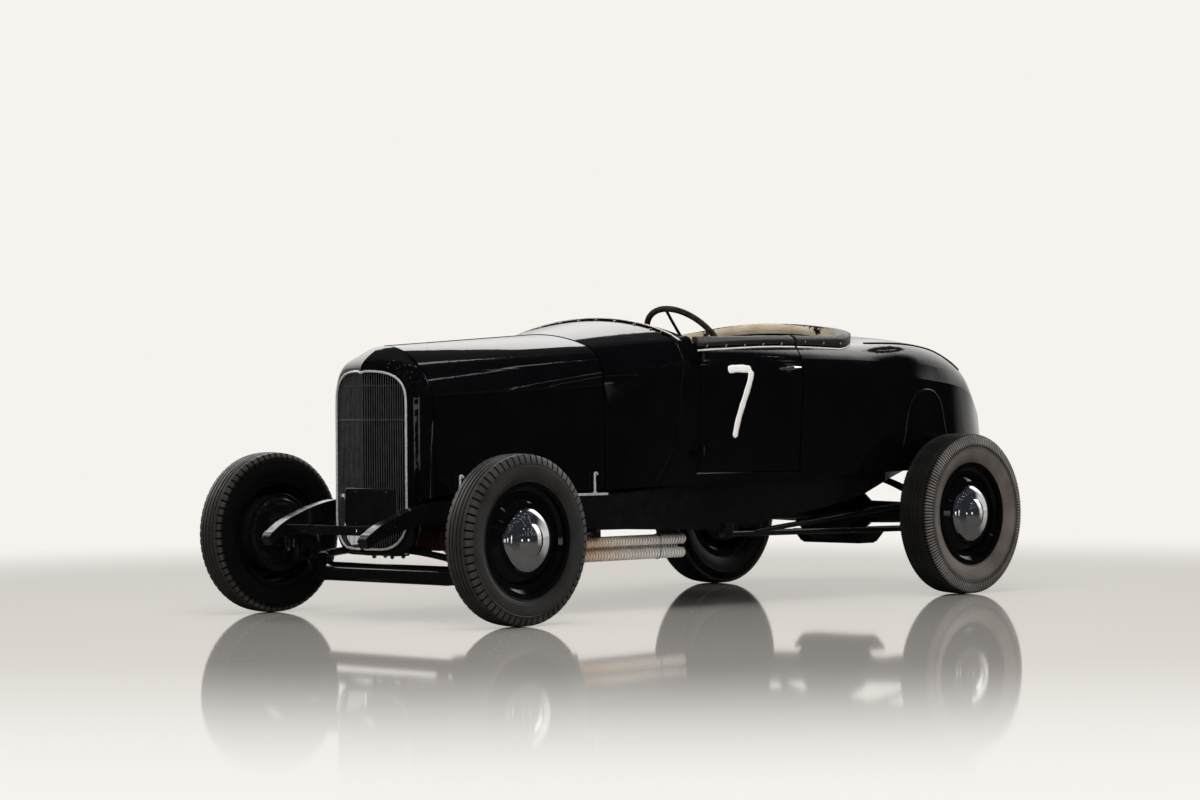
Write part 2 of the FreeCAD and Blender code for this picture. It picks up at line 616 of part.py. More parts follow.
for z in HINGES:
    for s in (1, -1):
        barrels.append(Part.makeCylinder(7, HINGE_TALL, V(s * HINGE_X, num("door_start"), z - HINGE_TALL)))
        barrels.append(slab(min(s * 560, s * HINGE_X), num("door_start") - 34, z - HINGE_TALL,
                            HINGE_X - 560, 34, HINGE_TALL).cut(cowl_outer))
    straps.append(Part.makeCylinder(7, HINGE_TALL, V(HINGE_X, num("door_start"), z + fit)))
    straps.append(slab(560, num("door_start"), z + fit, HINGE_X - 560, 34, HINGE_TALL))
beads = both_sides(side_bead) + [top_bead]
node(shape(cowl.multiFuse([dash, clamp] + barrels + beads)), "cowl")

# tub, doors and deck lid are one skin divided at its seams
outer = skin(evened(BODY))
cavity = stretched(evened(BODY), 1, -T)
wall = outer.cut(skin(cavity, inset=T, deeper=60))
REVEALS = [
    # quarter line from the cockpit down over the tail, then the rear wheel's inner cover
    [(y, z) for y, z in ((2290, 1086), (2420, 1087), (2521, 1084), (2635, 1073), (2737, 1056),
                         (2830, 1022), (2928, 975))],
    [(2440, 640), (2462, 735), (2490, 835), (2530, 872), (2580, 885), (2640, 880), (2690, 845),
     (2722, 770), (2750, 685)],
]
reveals = [bead([on_side(outer, y, z) for y, z in line], 5) for line in REVEALS]
half, rim = num("cockpit_half_width"), num("cockpit_end")
start, end = num("door_start"), num("door_end")
opening = wire([(half, start - 10, 0), (half, rim - 230, 0), ("via", half - 62, rim - 62, 0),
                (half - 230, rim, 0), (230 - half, rim, 0), ("via", 62 - half, rim - 62, 0),
                (-half, rim - 230, 0), (-half, start - 10, 0)])
well = Part.Face(opening).extrude(V(0, 0, 2000))
wall = wall.cut(well)
door_low = 552
door_span = end - start - seam - num("door_gap")
door_left = wall.common(slab(400, start + seam, door_low, 400, door_span, 900))
gap = slab(400, start - 10, door_low - seam, 400, end - start + 10, 900)
tub = wall.cut(gap).cut(gap.mirror(V(0, 0, 0), V(1, 0, 0)))
lid_half, lid_start, lid_low = 395, tail - 347, 640
lid = wall.common(slab(-lid_half, lid_start, lid_low, 2 * lid_half, 1200, 900))
pin_y = lid_start - seam / 2
crest = on_top(outer, 0, pin_y).z
lid_pin = Part.makeCylinder(seam / 2, 100, V(-50, pin_y - 0.3, crest), V(1, 0, 0))
tub = tub.cut(slab(-lid_half - seam, lid_start - seam, lid_low - seam, 2 * (lid_half + seam), 1200, 900))
side_reveals = both_sides(reveals[0]) + both_sides(reveals[1])
node(shape(tub.multiFuse([lid_pin] + side_reveals)), "body_tub")
node(shape(lid), "deck_lid")

# padded roll round the cockpit: it stands higher at the rear and is split where the doors open
raised = [(r[0], r[1], r[2], r[3], r[4] + up, r[5], r[6] + up, r[7], r[8] + up, r[9] + up)
          for r, up in zip(BODY, PAD_RISE)]
out_x, in_x, back = half + 20, half - 12, rim + 52
ring = [Part.Face(wire([(x, start - 9, 0), (x, y - 230, 0), ("via", x - 62, y - 62, 0),
                        (x - 230, y, 0), (230 - x, y, 0), ("via", 62 - x, y - 62, 0),
                        (-x, y - 230, 0), (-x, start - 9, 0)]))
        for x, y in ((out_x, back), (in_x, rim - 12))]
band = ring[0].cut(ring[1]).extrude(V(0, 0, 2000))
crown = skin(evened(raised)).cut(outer.translated(V(0, 0, fit))).common(band)
pad_left = shape(crown.common(slab(400, start + seam, 900, 400, door_span, 900)))
node(pad_left, "coaming_door_left")
mirrored(pad_left, "coaming_door_right")
node(shape(crown.common(slab(-800, end, 900, 1600, 1000, 900))), "coaming_rear")
door = shape(door_left.multiFuse([strap.cut(outer) for strap in straps]))
node(door, "door_left")
mirrored(door, "door_right")

# lever handles on a round boss
grip = on_side(outer, 1668, 975)
lever = V(grip.x + 32, grip.y, grip.z)
parts = [Part.makeCylinder(17, 12, V(grip.x - 3, grip.y, grip.z), V(1, 0, 0)),
         Part.makeCylinder(8, 32, grip, V(1, 0, 0)),
         Part.makeCone(9, 4, 88, lever, V(0, -1, -0.05)),
         Part.makeCone(9, 4, 50, lever, V(0, 1, 0.05))]
handle = shape(Part.makeSphere(9.0, lever).multiFuse(parts).cut(outer.translated(V(fit, 0, 0))))
node(handle, "door_handle_left")
mirrored(handle, "door_handle_right")

# ---------------------------------------------------------------- grille shell and grille
# The shell's front is a shallow V in plan. Each half is lofted back from its front lip through
# sections that straighten up into the hood's own section; an apron hangs below between the rails.
NOSE = [
    #  station at nose, slope back, then the half section as for the hood
    (-139, 0.26, 212, 474, 212, 850, 190, 926, 105, 976, 978),
    (-133, 0.26, 221, 474, 221, 852, 199, 934, 112, 988, 991),
    (-110, 0.22, 231, 474, 230, 856, 208, 944, 122, 1005, 1014),
    (-66, 0.13, 249, 474, 247, 862, 216, 952, 136, 1015, 1043),
    (num("hood_start"), 0.0, 289, 474, 270, 868, 219, 958, 150, 1018, 1063),
]
APRON = [
    #  station at nose, slope back, half width, bottom
    (-139, 0.26, 212, 266),
    (-131, 0.26, 221, 258),
    (-64, 0.12, 226, 258),
]


def tipped(points, y, slope):
    """Stand (x, z) points up on a plane that falls back to the side."""
    made = []
    for p in points:
        x, z = p[-2:]
        spot = (x, y + slope * x, z)
        made.append(("via",) + spot if len(p) == 3 else spot)
    return wire(made)


def nose_loft(rows, inset=0.0):
    wires = []
    for y, slope, *row in rows:
        foot, crease, mid_c, side, mid_b, shoulder, crown = half_section([y] + row, inset=inset)
        mid_a = run_on(V(0, 0, crown[1]), V(1, 0, 0), V(shoulder[0], 0, shoulder[1]))[0]
        wires.append(tipped([(0, foot[1]), foot, crease, ("via",) + mid_c, side, ("via",) + mid_b,
                             shoulder, ("via", mid_a.x, mid_a.z), crown], y, slope))
    return Part.makeLoft(wires, True, False)


def u_outline(half_width, bottom, inset, ceiling):
    """A half U: flat bottom, rounded corner, straight side."""
    r = 112.0 - inset
    x, z = half_width - inset, bottom + inset
    q = r * (1 - math.sqrt(0.5))
    return [(0, z), (x - r, z), ("via", x - q, z + q), (x, z + r), (x, ceiling), (0, ceiling)]


def apron_loft(rows, inset=0.0, ceiling=474):
    return Part.makeLoft([tipped(u_outline(w, z, inset, ceiling), y, slope)
                          for y, slope, w, z in rows], True, False)


SHEET, LIP = 12, 10
hollow_rows = [(NOSE[0][0] + LIP,) + NOSE[0][1:]] + NOSE[2:-1]
hollow_rows += [(NOSE[-1][0] + 1,) + NOSE[-1][1:]]
hollow_apron = [(APRON[0][0] + LIP,) + APRON[0][1:], (APRON[2][0] + 1,) + APRON[2][1:]]
half_shell = nose_loft(NOSE).fuse(apron_loft(APRON))
half_shell = half_shell.cut(nose_loft(hollow_rows, inset=SHEET))
half_shell = half_shell.cut(apron_loft(hollow_apron, inset=SHEET, ceiling=480))


def mouth(inset):
    """Half of the grille opening seen from the front."""
    row = (0, 200, 474, 200, 850, 179, 920, 100, 963, 965)
    foot, crease, mid_c, side, mid_b, shoulder, crown = half_section(row, inset=inset)
    mid_a = run_on(V(0, 0, crown[1]), V(1, 0, 0), V(shoulder[0], 0, shoulder[1]))[0]
    low = u_outline(200, 278, inset, 0)[:4]
    return low + [crease, ("via",) + mid_c, side, ("via",) + mid_b, shoulder,
                  ("via", mid_a.x, mid_a.z), crown]


def through(inset):
    return Part.Face(tipped(mouth(inset), -200, 0)).extrude(V(0, 190, 0))


aperture = through(0)
beam_room = slab(-300, -46 - fit, 372 - fit, 600, 60, 52 + 2 * fit)
axle_room = slab(-300, -24, 250, 600, 60, 140)
half_shell = half_shell.cut(aperture).cut(beam_room).cut(axle_room)
half_shell = half_shell.common(slab(0, -300, 0, 400, 400, 1200))
shell = half_shell.fuse(half_shell.mirror(V(0, 0, 0), V(1, 0, 0))).removeSplitter()
node(shape(shell), "grille_shell")

# upright bars, a cross bar, two stays behind them and a polished bead round the opening
slope, face = NOSE[0][1], NOSE[0][0] + 3
bars = [slab(k * 10.4 - 1.8, face + abs(k) * 10.4 * slope, 250, 3.6, 12, 760) for k in range(-19, 20)]
for z, tall, front in ((770, 12, -2), (420, 8, 12), (905, 8, 12)):
    for s in (1, -1):
        corners = [(0, front), (200, front + 200 * slope), (200, front + 200 * slope + 9), (0, front + 9)]
        bars.append(Part.Face(Part.makePolygon([V(s * x, face + y, z) for x, y in corners + corners[:1]]))
                    .extrude(V(0, 0, tall)))
hole = through(fit).common(slab(0, -300, 0, 400, 400, 1200))
grille = bars[0].multiFuse(bars[1:]).common(hole.fuse(hole.mirror(V(0, 0, 0), V(1, 0, 0))))
node(shape(grille), "grille")
stays = [rod(x, 3, 84, 3.5, "172 - 3 + %g - fit" % (face + abs(x - 62) * slope), "y")
         for x in (81.5, 198.5)]
node(joined(box(0, 0, 0, 305, 3, 152), *stays), "licence_plate", -62, -172, 362)

# ---------------------------------------------------------------- cockpit
room = skin(stretched(COWL, 1, 1), inset=T + fit, deeper=60).fuse(skin(cavity, inset=T + fit, deeper=60))
floor_start = num("cowl_start") + T + fit
boards = room.common(slab(-700, floor_start, 534.3, 1400, 2080 - floor_start, 12))
node(shape(boards.cut(cowl)), "floor")
node(box(0, 0, 0, 1000, 470, 165), "seat_cushion", -500, 1560, 547)
node(box(0, 0, 0, 1000, 110, 500), "seat_back", -500, 2030.3, 560)

column = Part.makeCylinder(num("column_radius"), 900, hub + down * 20.3, down)
column = column.common(slab(0, num("cowl_start") + T + fit, 0, 900, 900, 1500))
node(shape(column), "steering_column")
rim_ring = Part.makeTorus(num("steering_wheel_radius") - num("steering_rim_radius"),
                          num("steering_rim_radius"), hub, down)
spokes = []
for k in range(3):
    arm = FreeCAD.Rotation(down, 90 + 120 * k).multVec(V(1, 0, 0))
    spokes.append(Part.makeCylinder(8, num("steering_wheel_radius") - 16, hub, arm))
boss = Part.makeCylinder(34, 40, hub - down * 20, down)
node(shape(boss.multiFuse(spokes + [rim_ring])), "steering_wheel")

# ---------------------------------------------------------------- checks and files
doc.recompute()
faults = ["%s %s" % (o.Name, o.State) for o in doc.Objects
          if "Invalid" in o.State or "Error" in o.State]
for label, thing in NODES.items():
    solid = thing.Shape
    if solid.isNull() or not solid.isValid():
        faults.append(label + " has no valid solid")
if faults:
    raise SystemExit("not written: " + "; ".join(faults))
os.makedirs("parts", exist_ok=True)
for label, thing in NODES.items():
    thing.Shape.exportStep("parts/%s.step" % label)
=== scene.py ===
"""An open hot rod roadster in black enamel: its looks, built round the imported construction."""
import bpy, bmesh, math
from mathutils import Matrix, Vector
from mathutils.bvhtree import BVHTree


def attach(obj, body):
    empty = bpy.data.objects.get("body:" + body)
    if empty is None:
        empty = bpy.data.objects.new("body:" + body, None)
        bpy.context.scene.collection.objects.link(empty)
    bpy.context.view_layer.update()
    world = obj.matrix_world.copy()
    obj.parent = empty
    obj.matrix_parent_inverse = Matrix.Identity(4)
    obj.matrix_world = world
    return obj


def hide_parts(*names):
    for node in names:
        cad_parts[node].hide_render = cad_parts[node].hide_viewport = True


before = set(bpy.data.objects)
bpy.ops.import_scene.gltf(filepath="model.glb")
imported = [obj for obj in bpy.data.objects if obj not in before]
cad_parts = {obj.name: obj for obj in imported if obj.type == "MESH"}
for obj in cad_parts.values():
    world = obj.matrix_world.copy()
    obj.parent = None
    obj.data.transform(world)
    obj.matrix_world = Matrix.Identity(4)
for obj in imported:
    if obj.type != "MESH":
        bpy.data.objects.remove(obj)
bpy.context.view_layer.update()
scene = bpy.context.scene


# ---------------------------------------------------------------- camera
# A long lens at hip height, off the car's left front corner. Stations along the car are
# measured in millimetres behind the front axle; the frame's middle lies at station 1448.
MIDDLE = 1448


def at(x, station, z):
    """A place in the frame from millimetres across, back from the front axle and up."""
    return Vector((x, station - MIDDLE, z)) / 1000


def colour(text):
    """Linear RGBA of an sRGB hex colour."""
    values = [int(text[i:i + 2], 16) / 255 for i in (1, 3, 5)]
    return [v / 12.92 if v < 0.04045 else ((v + 0.055) / 1.055) ** 2.4 for v in values] + [1.0]


def add(tree, kind, links=None, stops=(), **settings):
    """A node in a tree, with its settings, its ramp's stops, and its values or links. A node
    given as a value is linked by its first output."""
    made = tree.nodes.new(kind)
    for name, value in settings.items():
        setattr(made, name, value)
    for name, value in (links or {}).items():
        if isinstance(value, bpy.types.Node):
            value = value.outputs[0]
        if isinstance(value, bpy.types.NodeSocket):
            tree.links.new(value, made.inputs[name])
        else:
            made.inputs[name].default_value = value
    for i, (place, text) in enumerate(stops):
        band = made.color_ramp.elements
        stop = band[i] if i < 2 else band.new(place)
        stop.position, stop.color = place, colour(text)
    return made


camera = bpy.data.objects.new("camera", bpy.data.cameras.new("camera"))
camera.location = (9.2056, -9.7633, 0.8055)
camera.rotation_euler = [math.radians(a) for a in (90.19089, 0.41881, 44.08945)]
camera.data.lens, camera.data.sensor_width, camera.data.clip_end = 95.38, 36, 200
scene.collection.objects.link(camera)
scene.camera = camera
scene.view_settings.view_transform = "Standard"

# ---------------------------------------------------------------- studio: walls, lamps and floor
# A large pale room: a lit wall behind the car, a dark hall on the camera's side with small
# ceiling lamps and far doorways, soft lamps overhead, and a pale floor with a low polish.
WALL = colour("#f6f3ef")
WALL_WAY = (-0.6958, 0.7183, 0.0)
CEILING = 0.62


def emptied(owner):
    """The node tree of a world or a material, with nothing in it."""
    owner.use_nodes = True
    owner.node_tree.nodes.clear()
    return owner.node_tree


scene.world = bpy.data.worlds.new("studio")
tree = emptied(scene.world)
ray = add(tree, "ShaderNodeLightPath")
way = add(tree, "ShaderNodeTexCoord").outputs["Generated"]
facing = add(tree, "ShaderNodeVectorMath", {0: way, 1: WALL_WAY}, operation="DOT_PRODUCT")
wall = add(tree, "ShaderNodeMapRange", {"Value": facing.outputs["Value"], "From Min": 0.2,
    "From Max": 0.4}, interpolation_type="SMOOTHSTEP")
climb = add(tree, "ShaderNodeSeparateXYZ", {0: way})
ceiling = add(tree, "ShaderNodeMapRange", {"Value": climb.outputs["Z"], "From Min": CEILING,
    "From Max": CEILING + 0.015, "To Min": 1.0, "To Max": 0.02}, interpolation_type="SMOOTHSTEP")
lit = add(tree, "ShaderNodeMath", {0: wall, 1: ceiling}, operation="MULTIPLY")
steep = add(tree, "ShaderNodeMapRange", {"Value": climb.outputs["Z"], "From Min": 0.14,
    "From Max": CEILING, "To Min": 0.86, "To Max": 4.0})
white = add(tree, "ShaderNodeVectorMath", {0: (1.0, 0.985, 0.965), "Scale": steep}, operation="SCALE")
hall = add(tree, "ShaderNodeMix", {0: lit, 6: colour("#2e3137"), 7: white}, data_type="RGBA")
# rows of small lamps in the dark ceiling, as points on a plane over the car
plane = add(tree, "ShaderNodeVectorMath", {0: way, 1: climb.outputs["Z"]}, operation="DIVIDE")
grid = add(tree, "ShaderNodeTexVoronoi", {"Vector": plane, "Scale": 1.9, "Randomness": 0.25},
    voronoi_dimensions="2D")
spark = add(tree, "ShaderNodeMath", {0: grid.outputs["Distance"], 1: 0.055}, operation="LESS_THAN")
above = add(tree, "ShaderNodeMapRange", {"Value": climb.outputs["Z"], "From Min": 0.22,
    "From Max": 0.26})
lamps = add(tree, "ShaderNodeMath", {0: spark, 1: above}, operation="MULTIPLY")
unlit = add(tree, "ShaderNodeMath", {0: 1.0, 1: lit}, operation="SUBTRACT")
lamps = add(tree, "ShaderNodeMath", {0: lamps, 1: unlit}, operation="MULTIPLY")
lamped = add(tree, "ShaderNodeMix", {0: lamps, 6: hall.outputs[2], 7: (4.2, 4.1, 3.9, 1)},
    data_type="RGBA")
# a few small lit doorways low down in the dark hall, which give the chrome its bright spots
doorway = add(tree, "ShaderNodeTexVoronoi", {"Vector": way, "Scale": 3.4, "Randomness": 0.8})
opening = add(tree, "ShaderNodeMath", {0: doorway.outputs["Distance"], 1: 0.21}, operation="LESS_THAN")
low = add(tree, "ShaderNodeMapRange", {"Value": climb.outputs["Z"], "From Min": 0.30, "From Max": 0.28})
opening = add(tree, "ShaderNodeMath", {0: opening, 1: low}, operation="MULTIPLY")
ahead = add(tree, "ShaderNodeMapRange", {"Value": facing.outputs["Value"], "From Min": -0.40,
    "From Max": -0.45})
opening = add(tree, "ShaderNodeMath", {0: opening, 1: ahead}, operation="MULTIPLY")
glinting = add(tree, "ShaderNodeMix", {0: opening, 6: lamped.outputs[2], 7: (1.9, 1.9, 2.0, 1)},
    data_type="RGBA")
mirrored_room = add(tree, "ShaderNodeBackground", {"Color": glinting.outputs[2], "Strength": 0.9})
soft_room = add(tree, "ShaderNodeBackground", {"Color": WALL, "Strength": 0.26})
pale_room = add(tree, "ShaderNodeBackground", {"Color": WALL, "Strength": 1.0})
seen = add(tree, "ShaderNodeMixShader", {0: ray.outputs["Is Glossy Ray"], 1: soft_room,
    2: mirrored_room})
shown = add(tree, "ShaderNodeMixShader", {0: ray.outputs["Is Camera Ray"], 1: seen, 2: pale_room})
add(tree, "ShaderNodeOutputWorld", {"Surface": shown})

for name, place, size, watts in [("soft_overhead", (1.5, -2.0, 6.5), (6, 6), 380),
                                 ("soft_front", (6.5, -6.5, 3.2), (4, 3), 300),
                                 ("soft_rear", (-3.5, 7.5, 4.0), (5, 3), 190)]:
    data = bpy.data.lights.new(name, "AREA")
    data.shape, (data.size, data.size_y), data.energy = "RECTANGLE", size, watts
    lamp = bpy.data.objects.new(name, data)
    lamp.location = place
    lamp.rotation_euler = (Vector((0, 0, 0.5)) - Vector(place)).to_track_quat("-Z", "Y").to_euler()
    lamp.visible_glossy = False
    scene.collection.objects.link(lamp)

sheet = bpy.data.meshes.new("studio_floor")
sheet.from_pydata([(-60, -60, 0), (60, -60, 0), (60, 60, 0), (-60, 60, 0)], [], [(0, 1, 2, 3)])
studio_floor = bpy.data.objects.new("studio_floor", sheet)
scene.collection.objects.link(studio_floor)
polished = bpy.data.materials.new("polished_pale_floor")
tree = emptied(polished)
away = add(tree, "ShaderNodeVectorMath", {0: add(tree, "ShaderNodeTexCoord").outputs["Object"]},
    operation="LENGTH")
fade = add(tree, "ShaderNodeMapRange", {"Value": away.outputs["Value"], "From Min": 3.2,
    "From Max": 7.0}, interpolation_type="SMOOTHSTEP")
ray = add(tree, "ShaderNodeLightPath")
distant = add(tree, "ShaderNodeMath", {0: ray.outputs["Is Camera Ray"], 1: fade}, operation="MULTIPLY")
# to glossy rays the floor takes a much darker colour, a painted shade in the car's reflections of it
floor_painted_dark_in_reflections = add(tree, "ShaderNodeMix", {0: ray.outputs["Is Glossy Ray"], 6: colour("#cfcac4"),
    7: colour("#5a5856")}, data_type="RGBA")
matt = add(tree, "ShaderNodeBsdfPrincipled", {"Base Color": floor_painted_dark_in_reflections.outputs[2], "Roughness": 0.9,
    "Specular IOR Level": 0.0})
mirror = add(tree, "ShaderNodeBsdfAnisotropic", {"Color": WALL, "Roughness": 0.045})
graze = add(tree, "ShaderNodeLayerWeight", {"Blend": 0.5})
low_angle = add(tree, "ShaderNodeMapRange", {"Value": graze.outputs["Facing"], "From Min": 0.74,
    "From Max": 0.96, "To Max": 0.72}, interpolation_type="SMOOTHSTEP")
slab = add(tree, "ShaderNodeMixShader", {0: low_angle, 1: matt, 2: mirror})
glow = add(tree, "ShaderNodeEmission", {"Color": WALL, "Strength": 1.0})
both = add(tree, "ShaderNodeMixShader", {0: distant, 1: slab, 2: glow})
add(tree, "ShaderNodeOutputMaterial", {"Surface": both})
sheet.materials.append(polished)


# ---------------------------------------------------------------- tyres
# Bias-ply black tyres. The front pair has four grooves and notched shoulders; the rear pair is
# taller, with fine grooves and close serrations. Each is one moulded ring of rubber.
SIDES = (("left", 1), ("right", -1))
WHEELBASE = 2692


def finish(name, dark, light, patch, gloss, speck, relief, ends=(0.3, 0.7), **constants):
    """A material whose colour drifts over patches and whose gloss and relief change over
    specks, both in metres. Constants go to the shader's own sockets."""
    made = bpy.data.materials.new(name)
    tree = emptied(made)
    spot = add(tree, "ShaderNodeTexCoord").outputs["Object"]
    cloud = add(tree, "ShaderNodeTexNoise", {"Vector": spot, "Scale": 1 / patch, "Detail": 4.0})
    tint = add(tree, "ShaderNodeValToRGB", {"Fac": cloud.outputs["Fac"]},
        stops=zip(ends, (dark, light)))
    fine = add(tree, "ShaderNodeTexNoise", {"Vector": spot, "Scale": 1 / speck, "Detail": 4.0})
    rough = add(tree, "ShaderNodeMapRange", {"Value": fine.outputs["Fac"], "From Min": 0.3,
        "From Max": 0.7, "To Min": gloss[0], "To Max": gloss[1]})
    uneven = add(tree, "ShaderNodeBump", {"Height": fine.outputs["Fac"], "Distance": relief})
    shader = add(tree, "ShaderNodeBsdfPrincipled", {"Base Color": tint.outputs["Color"],
        "Roughness": rough, "Normal": uneven.outputs["Normal"], **{k.replace("_", " "): v
        for k, v in constants.items()}})
    add(tree, "ShaderNodeOutputMaterial", {"Surface": shader})
    return made


def opened(material):
    """A finish's node tree, its shader, and the place in metres that its patterns follow."""
    tree = material.node_tree
    shader = next(n for n in tree.nodes if n.type == "BSDF_PRINCIPLED")
    return tree, shader, add(tree, "ShaderNodeTexCoord").outputs["Object"]


def multiplied(tree, shader, over):
    """The shader's drifting colour times another one."""
    drift = shader.inputs["Base Color"].links[0].from_socket
    return add(tree, "ShaderNodeMix", {0: 1.0, 6: over, 7: drift}, data_type="RGBA",
        blend_type="MULTIPLY").outputs[2]


def outward(bm):
    """Turns every face of an edit mesh outwards."""
    bmesh.ops.recalc_face_normals(bm, faces=bm.faces)


def moved(x, station, z):
    """The matrix that carries a mesh from its own origin to a place."""
    return Matrix.Translation(at(x, station, z))


def kept(bm, smooth=True):
    """The finished mesh of an edit mesh."""
    mesh = bpy.data.meshes.new("worked")
    bm.to_mesh(mesh)
    bm.free()
    for face in mesh.polygons:
        face.use_smooth = smooth
    return mesh


def circle(count, first=0.0):
    """The cosine and sine of angles spaced evenly round a circle."""
    angles = [first + 2 * math.pi * k / count for k in range(count)]
    return [(math.cos(a), math.sin(a)) for a in angles]


def webbed(bm, rows, loop=False):
    """Faces between neighbouring rows of vertices; loop joins each row's ends too."""
    count = len(rows[0])
    for here, there in zip(rows, rows[1:]):
        for i in range(count if loop else count - 1):
            j = (i + 1) % count
            bm.faces.new((here[i], here[j], there[j], there[i]))


def turned(profile, steps, loop=True, unit=1.0):
    """A ring turned about the X axis from (along, radius) points; radius 0 makes a pole."""
    bm = bmesh.new()
    rings = [[bm.verts.new((x * unit, r * unit * high, r * unit * wide)) for x, r in profile]
        for wide, high in circle(steps)]
    webbed(bm, rings + rings[:1], loop)
    bmesh.ops.remove_doubles(bm, verts=bm.verts, dist=1e-5)
    bmesh.ops.dissolve_degenerate(bm, edges=bm.edges, dist=1e-6)
    outward(bm)
    return kept(bm)


def piece(name, mesh, body, material, stands_for=(), crisp=None):
    """A finished mesh as a named piece of the car, riding on its body."""
    mesh.name = name
    if material:
        mesh.materials.clear()
        mesh.materials.append(material)
    if crisp is not None:
        mesh.set_sharp_from_angle(angle=math.radians(crisp))
    made = bpy.data.objects.new(name, mesh)
    scene.collection.objects.link(made)
    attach(made, body)
    if stands_for:
        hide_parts(*stands_for)
    return made


def recipe(name, **sockets):
    """An empty Geometry Nodes tree with named inputs, and its input and output sockets."""
    tree = bpy.data.node_groups.new(name, "GeometryNodeTree")
    tree.interface.new_socket("Geometry", in_out="INPUT", socket_type="NodeSocketGeometry")
    for title, kind in sockets.items():
        tree.interface.new_socket(title, in_out="INPUT", socket_type="NodeSocket" + kind)
    tree.interface.new_socket("Geometry", in_out="OUTPUT", socket_type="NodeSocketGeometry")
    return tree, tree.nodes.new("NodeGroupInput").outputs, tree.nodes.new("NodeGroupOutput").inputs


def delivered(tree, shapes, material, result):
    """Makes a tree's instances real, gives them their finish and hands them out."""
    real = add(tree, "GeometryNodeRealizeInstances", {0: shapes})
    clad = add(tree, "GeometryNodeSetMaterial", {"Geometry": real, "Material": material})
    tree.links.new(clad.outputs[0], result[0])


def grown(tree, base, **values):
    """Runs a tree, if one is given, on a mesh or a curve and keeps the result as a mesh."""
    holder = bpy.data.objects.new("holder", base)
    scene.collection.objects.link(holder)
    if tree:
        run = holder.modifiers.new("recipe", "NODES")
        run.node_group = tree
        for socket in tree.interface.items_tree:
            if socket.in_out == "INPUT" and socket.name in values:
                run[socket.identifier] = values[socket.name]
    seen = holder.evaluated_get(bpy.context.evaluated_depsgraph_get())
    mesh = bpy.data.meshes.new_from_object(seen)
    bpy.data.objects.remove(holder)
    return mesh


# Lugs round an axle: one lug is set again and again about the X axis, over the ring that
# comes in, and both are joined.
lug_ring, given, result = recipe("lug_ring", Lug="Object", Count="Int", Rubber="Material")
spots = add(lug_ring, "GeometryNodePoints", {"Count": given["Count"]})
index = add(lug_ring, "GeometryNodeInputIndex")
share = add(lug_ring, "ShaderNodeMath", {0: index, 1: given["Count"]}, operation="DIVIDE")
angle = add(lug_ring, "ShaderNodeMath", {0: share, 1: 2 * math.pi}, operation="MULTIPLY")
turn = add(lug_ring, "ShaderNodeCombineXYZ", {"X": angle})
lug = add(lug_ring, "GeometryNodeObjectInfo", {"Object": given["Lug"]})
setting = add(lug_ring, "GeometryNodeInstanceOnPoints", {"Points": spots,
    "Instance": lug.outputs["Geometry"], "Rotation": turn})
real = add(lug_ring, "GeometryNodeRealizeInstances", {0: setting})
whole = add(lug_ring, "GeometryNodeJoinGeometry", {0: given["Geometry"]})
lug_ring.links.new(real.outputs[0], whole.inputs[0])
delivered(lug_ring, whole, given["Rubber"], result)

# Moulded rubber: dark and matt on the worn tread, and a greyer, waxy wall that has a faint brown bloom
# towards the rim. The wall's grey is partly a painted sheen, the lighter ring over the notched shoulder
# is a painted highlight, and the rear wall has a darker ring just under its shoulder. Grooves, lug gaps
# and the whole inner wall are darkened towards black, a painted shade. The "reach" attribute is the
# distance from the axle.
tyre_rubber = {}
for end, top, wall_tones_with_painted_sheen in (
        ("front", 0.324, [(0.0, "#1a1817"), (1.0, "#292827"), (0.12, "#22201e"), (0.5, "#302e2c"),
                          (0.66, "#2a2927"), (0.8, "#3a3836"), (0.93, "#3c3a38")]),
        ("rear", 0.348, [(0.0, "#4a423d"), (1.0, "#1f1f1e"), (0.15, "#6a615c"), (0.5, "#746e6a"),
                         (0.62, "#3c3937"), (0.72, "#8d8986"), (0.9, "#7a7775"), (0.97, "#242323")])):
    tyre_rubber[end] = finish(end + "_tyre_rubber", "#c8c4c0", "#ffffff", 0.09, (0.36, 0.52), 0.012,
        0.0002)
    tree, shader, spot = opened(tyre_rubber[end])
    reach = add(tree, "ShaderNodeAttribute", attribute_name="reach")
    placed = add(tree, "ShaderNodeMapRange", {"Value": reach.outputs["Fac"], "From Min": 0.206,
        "From Max": top})
    # over the notched shoulder this ramp is lighter, a painted highlight, and the wall's grey is partly
    # a painted sheen
    toned_with_painted_sheen = add(tree, "ShaderNodeValToRGB", {"Fac": placed}, stops=wall_tones_with_painted_sheen)
    tint = multiplied(tree, shader, toned_with_painted_sheen.outputs["Color"])
    # this attribute darkens grooves, lug gaps and the inner wall towards black, a painted shade, and
    # dulls their specular
    painted_shade = add(tree, "ShaderNodeAttribute", attribute_name="painted_shade")
    painted_shade_mix = add(tree, "ShaderNodeMix", {0: painted_shade.outputs["Fac"], 6: tint, 7: colour("#060606")},
        data_type="RGBA")
    tree.links.new(painted_shade_mix.outputs[2], shader.inputs["Base Color"])
    dull = add(tree, "ShaderNodeMapRange", {"Value": painted_shade.outputs["Fac"], "To Min": 0.5,
        "To Max": 0.06})
    tree.links.new(dull.outputs[0], shader.inputs["Specular IOR Level"])

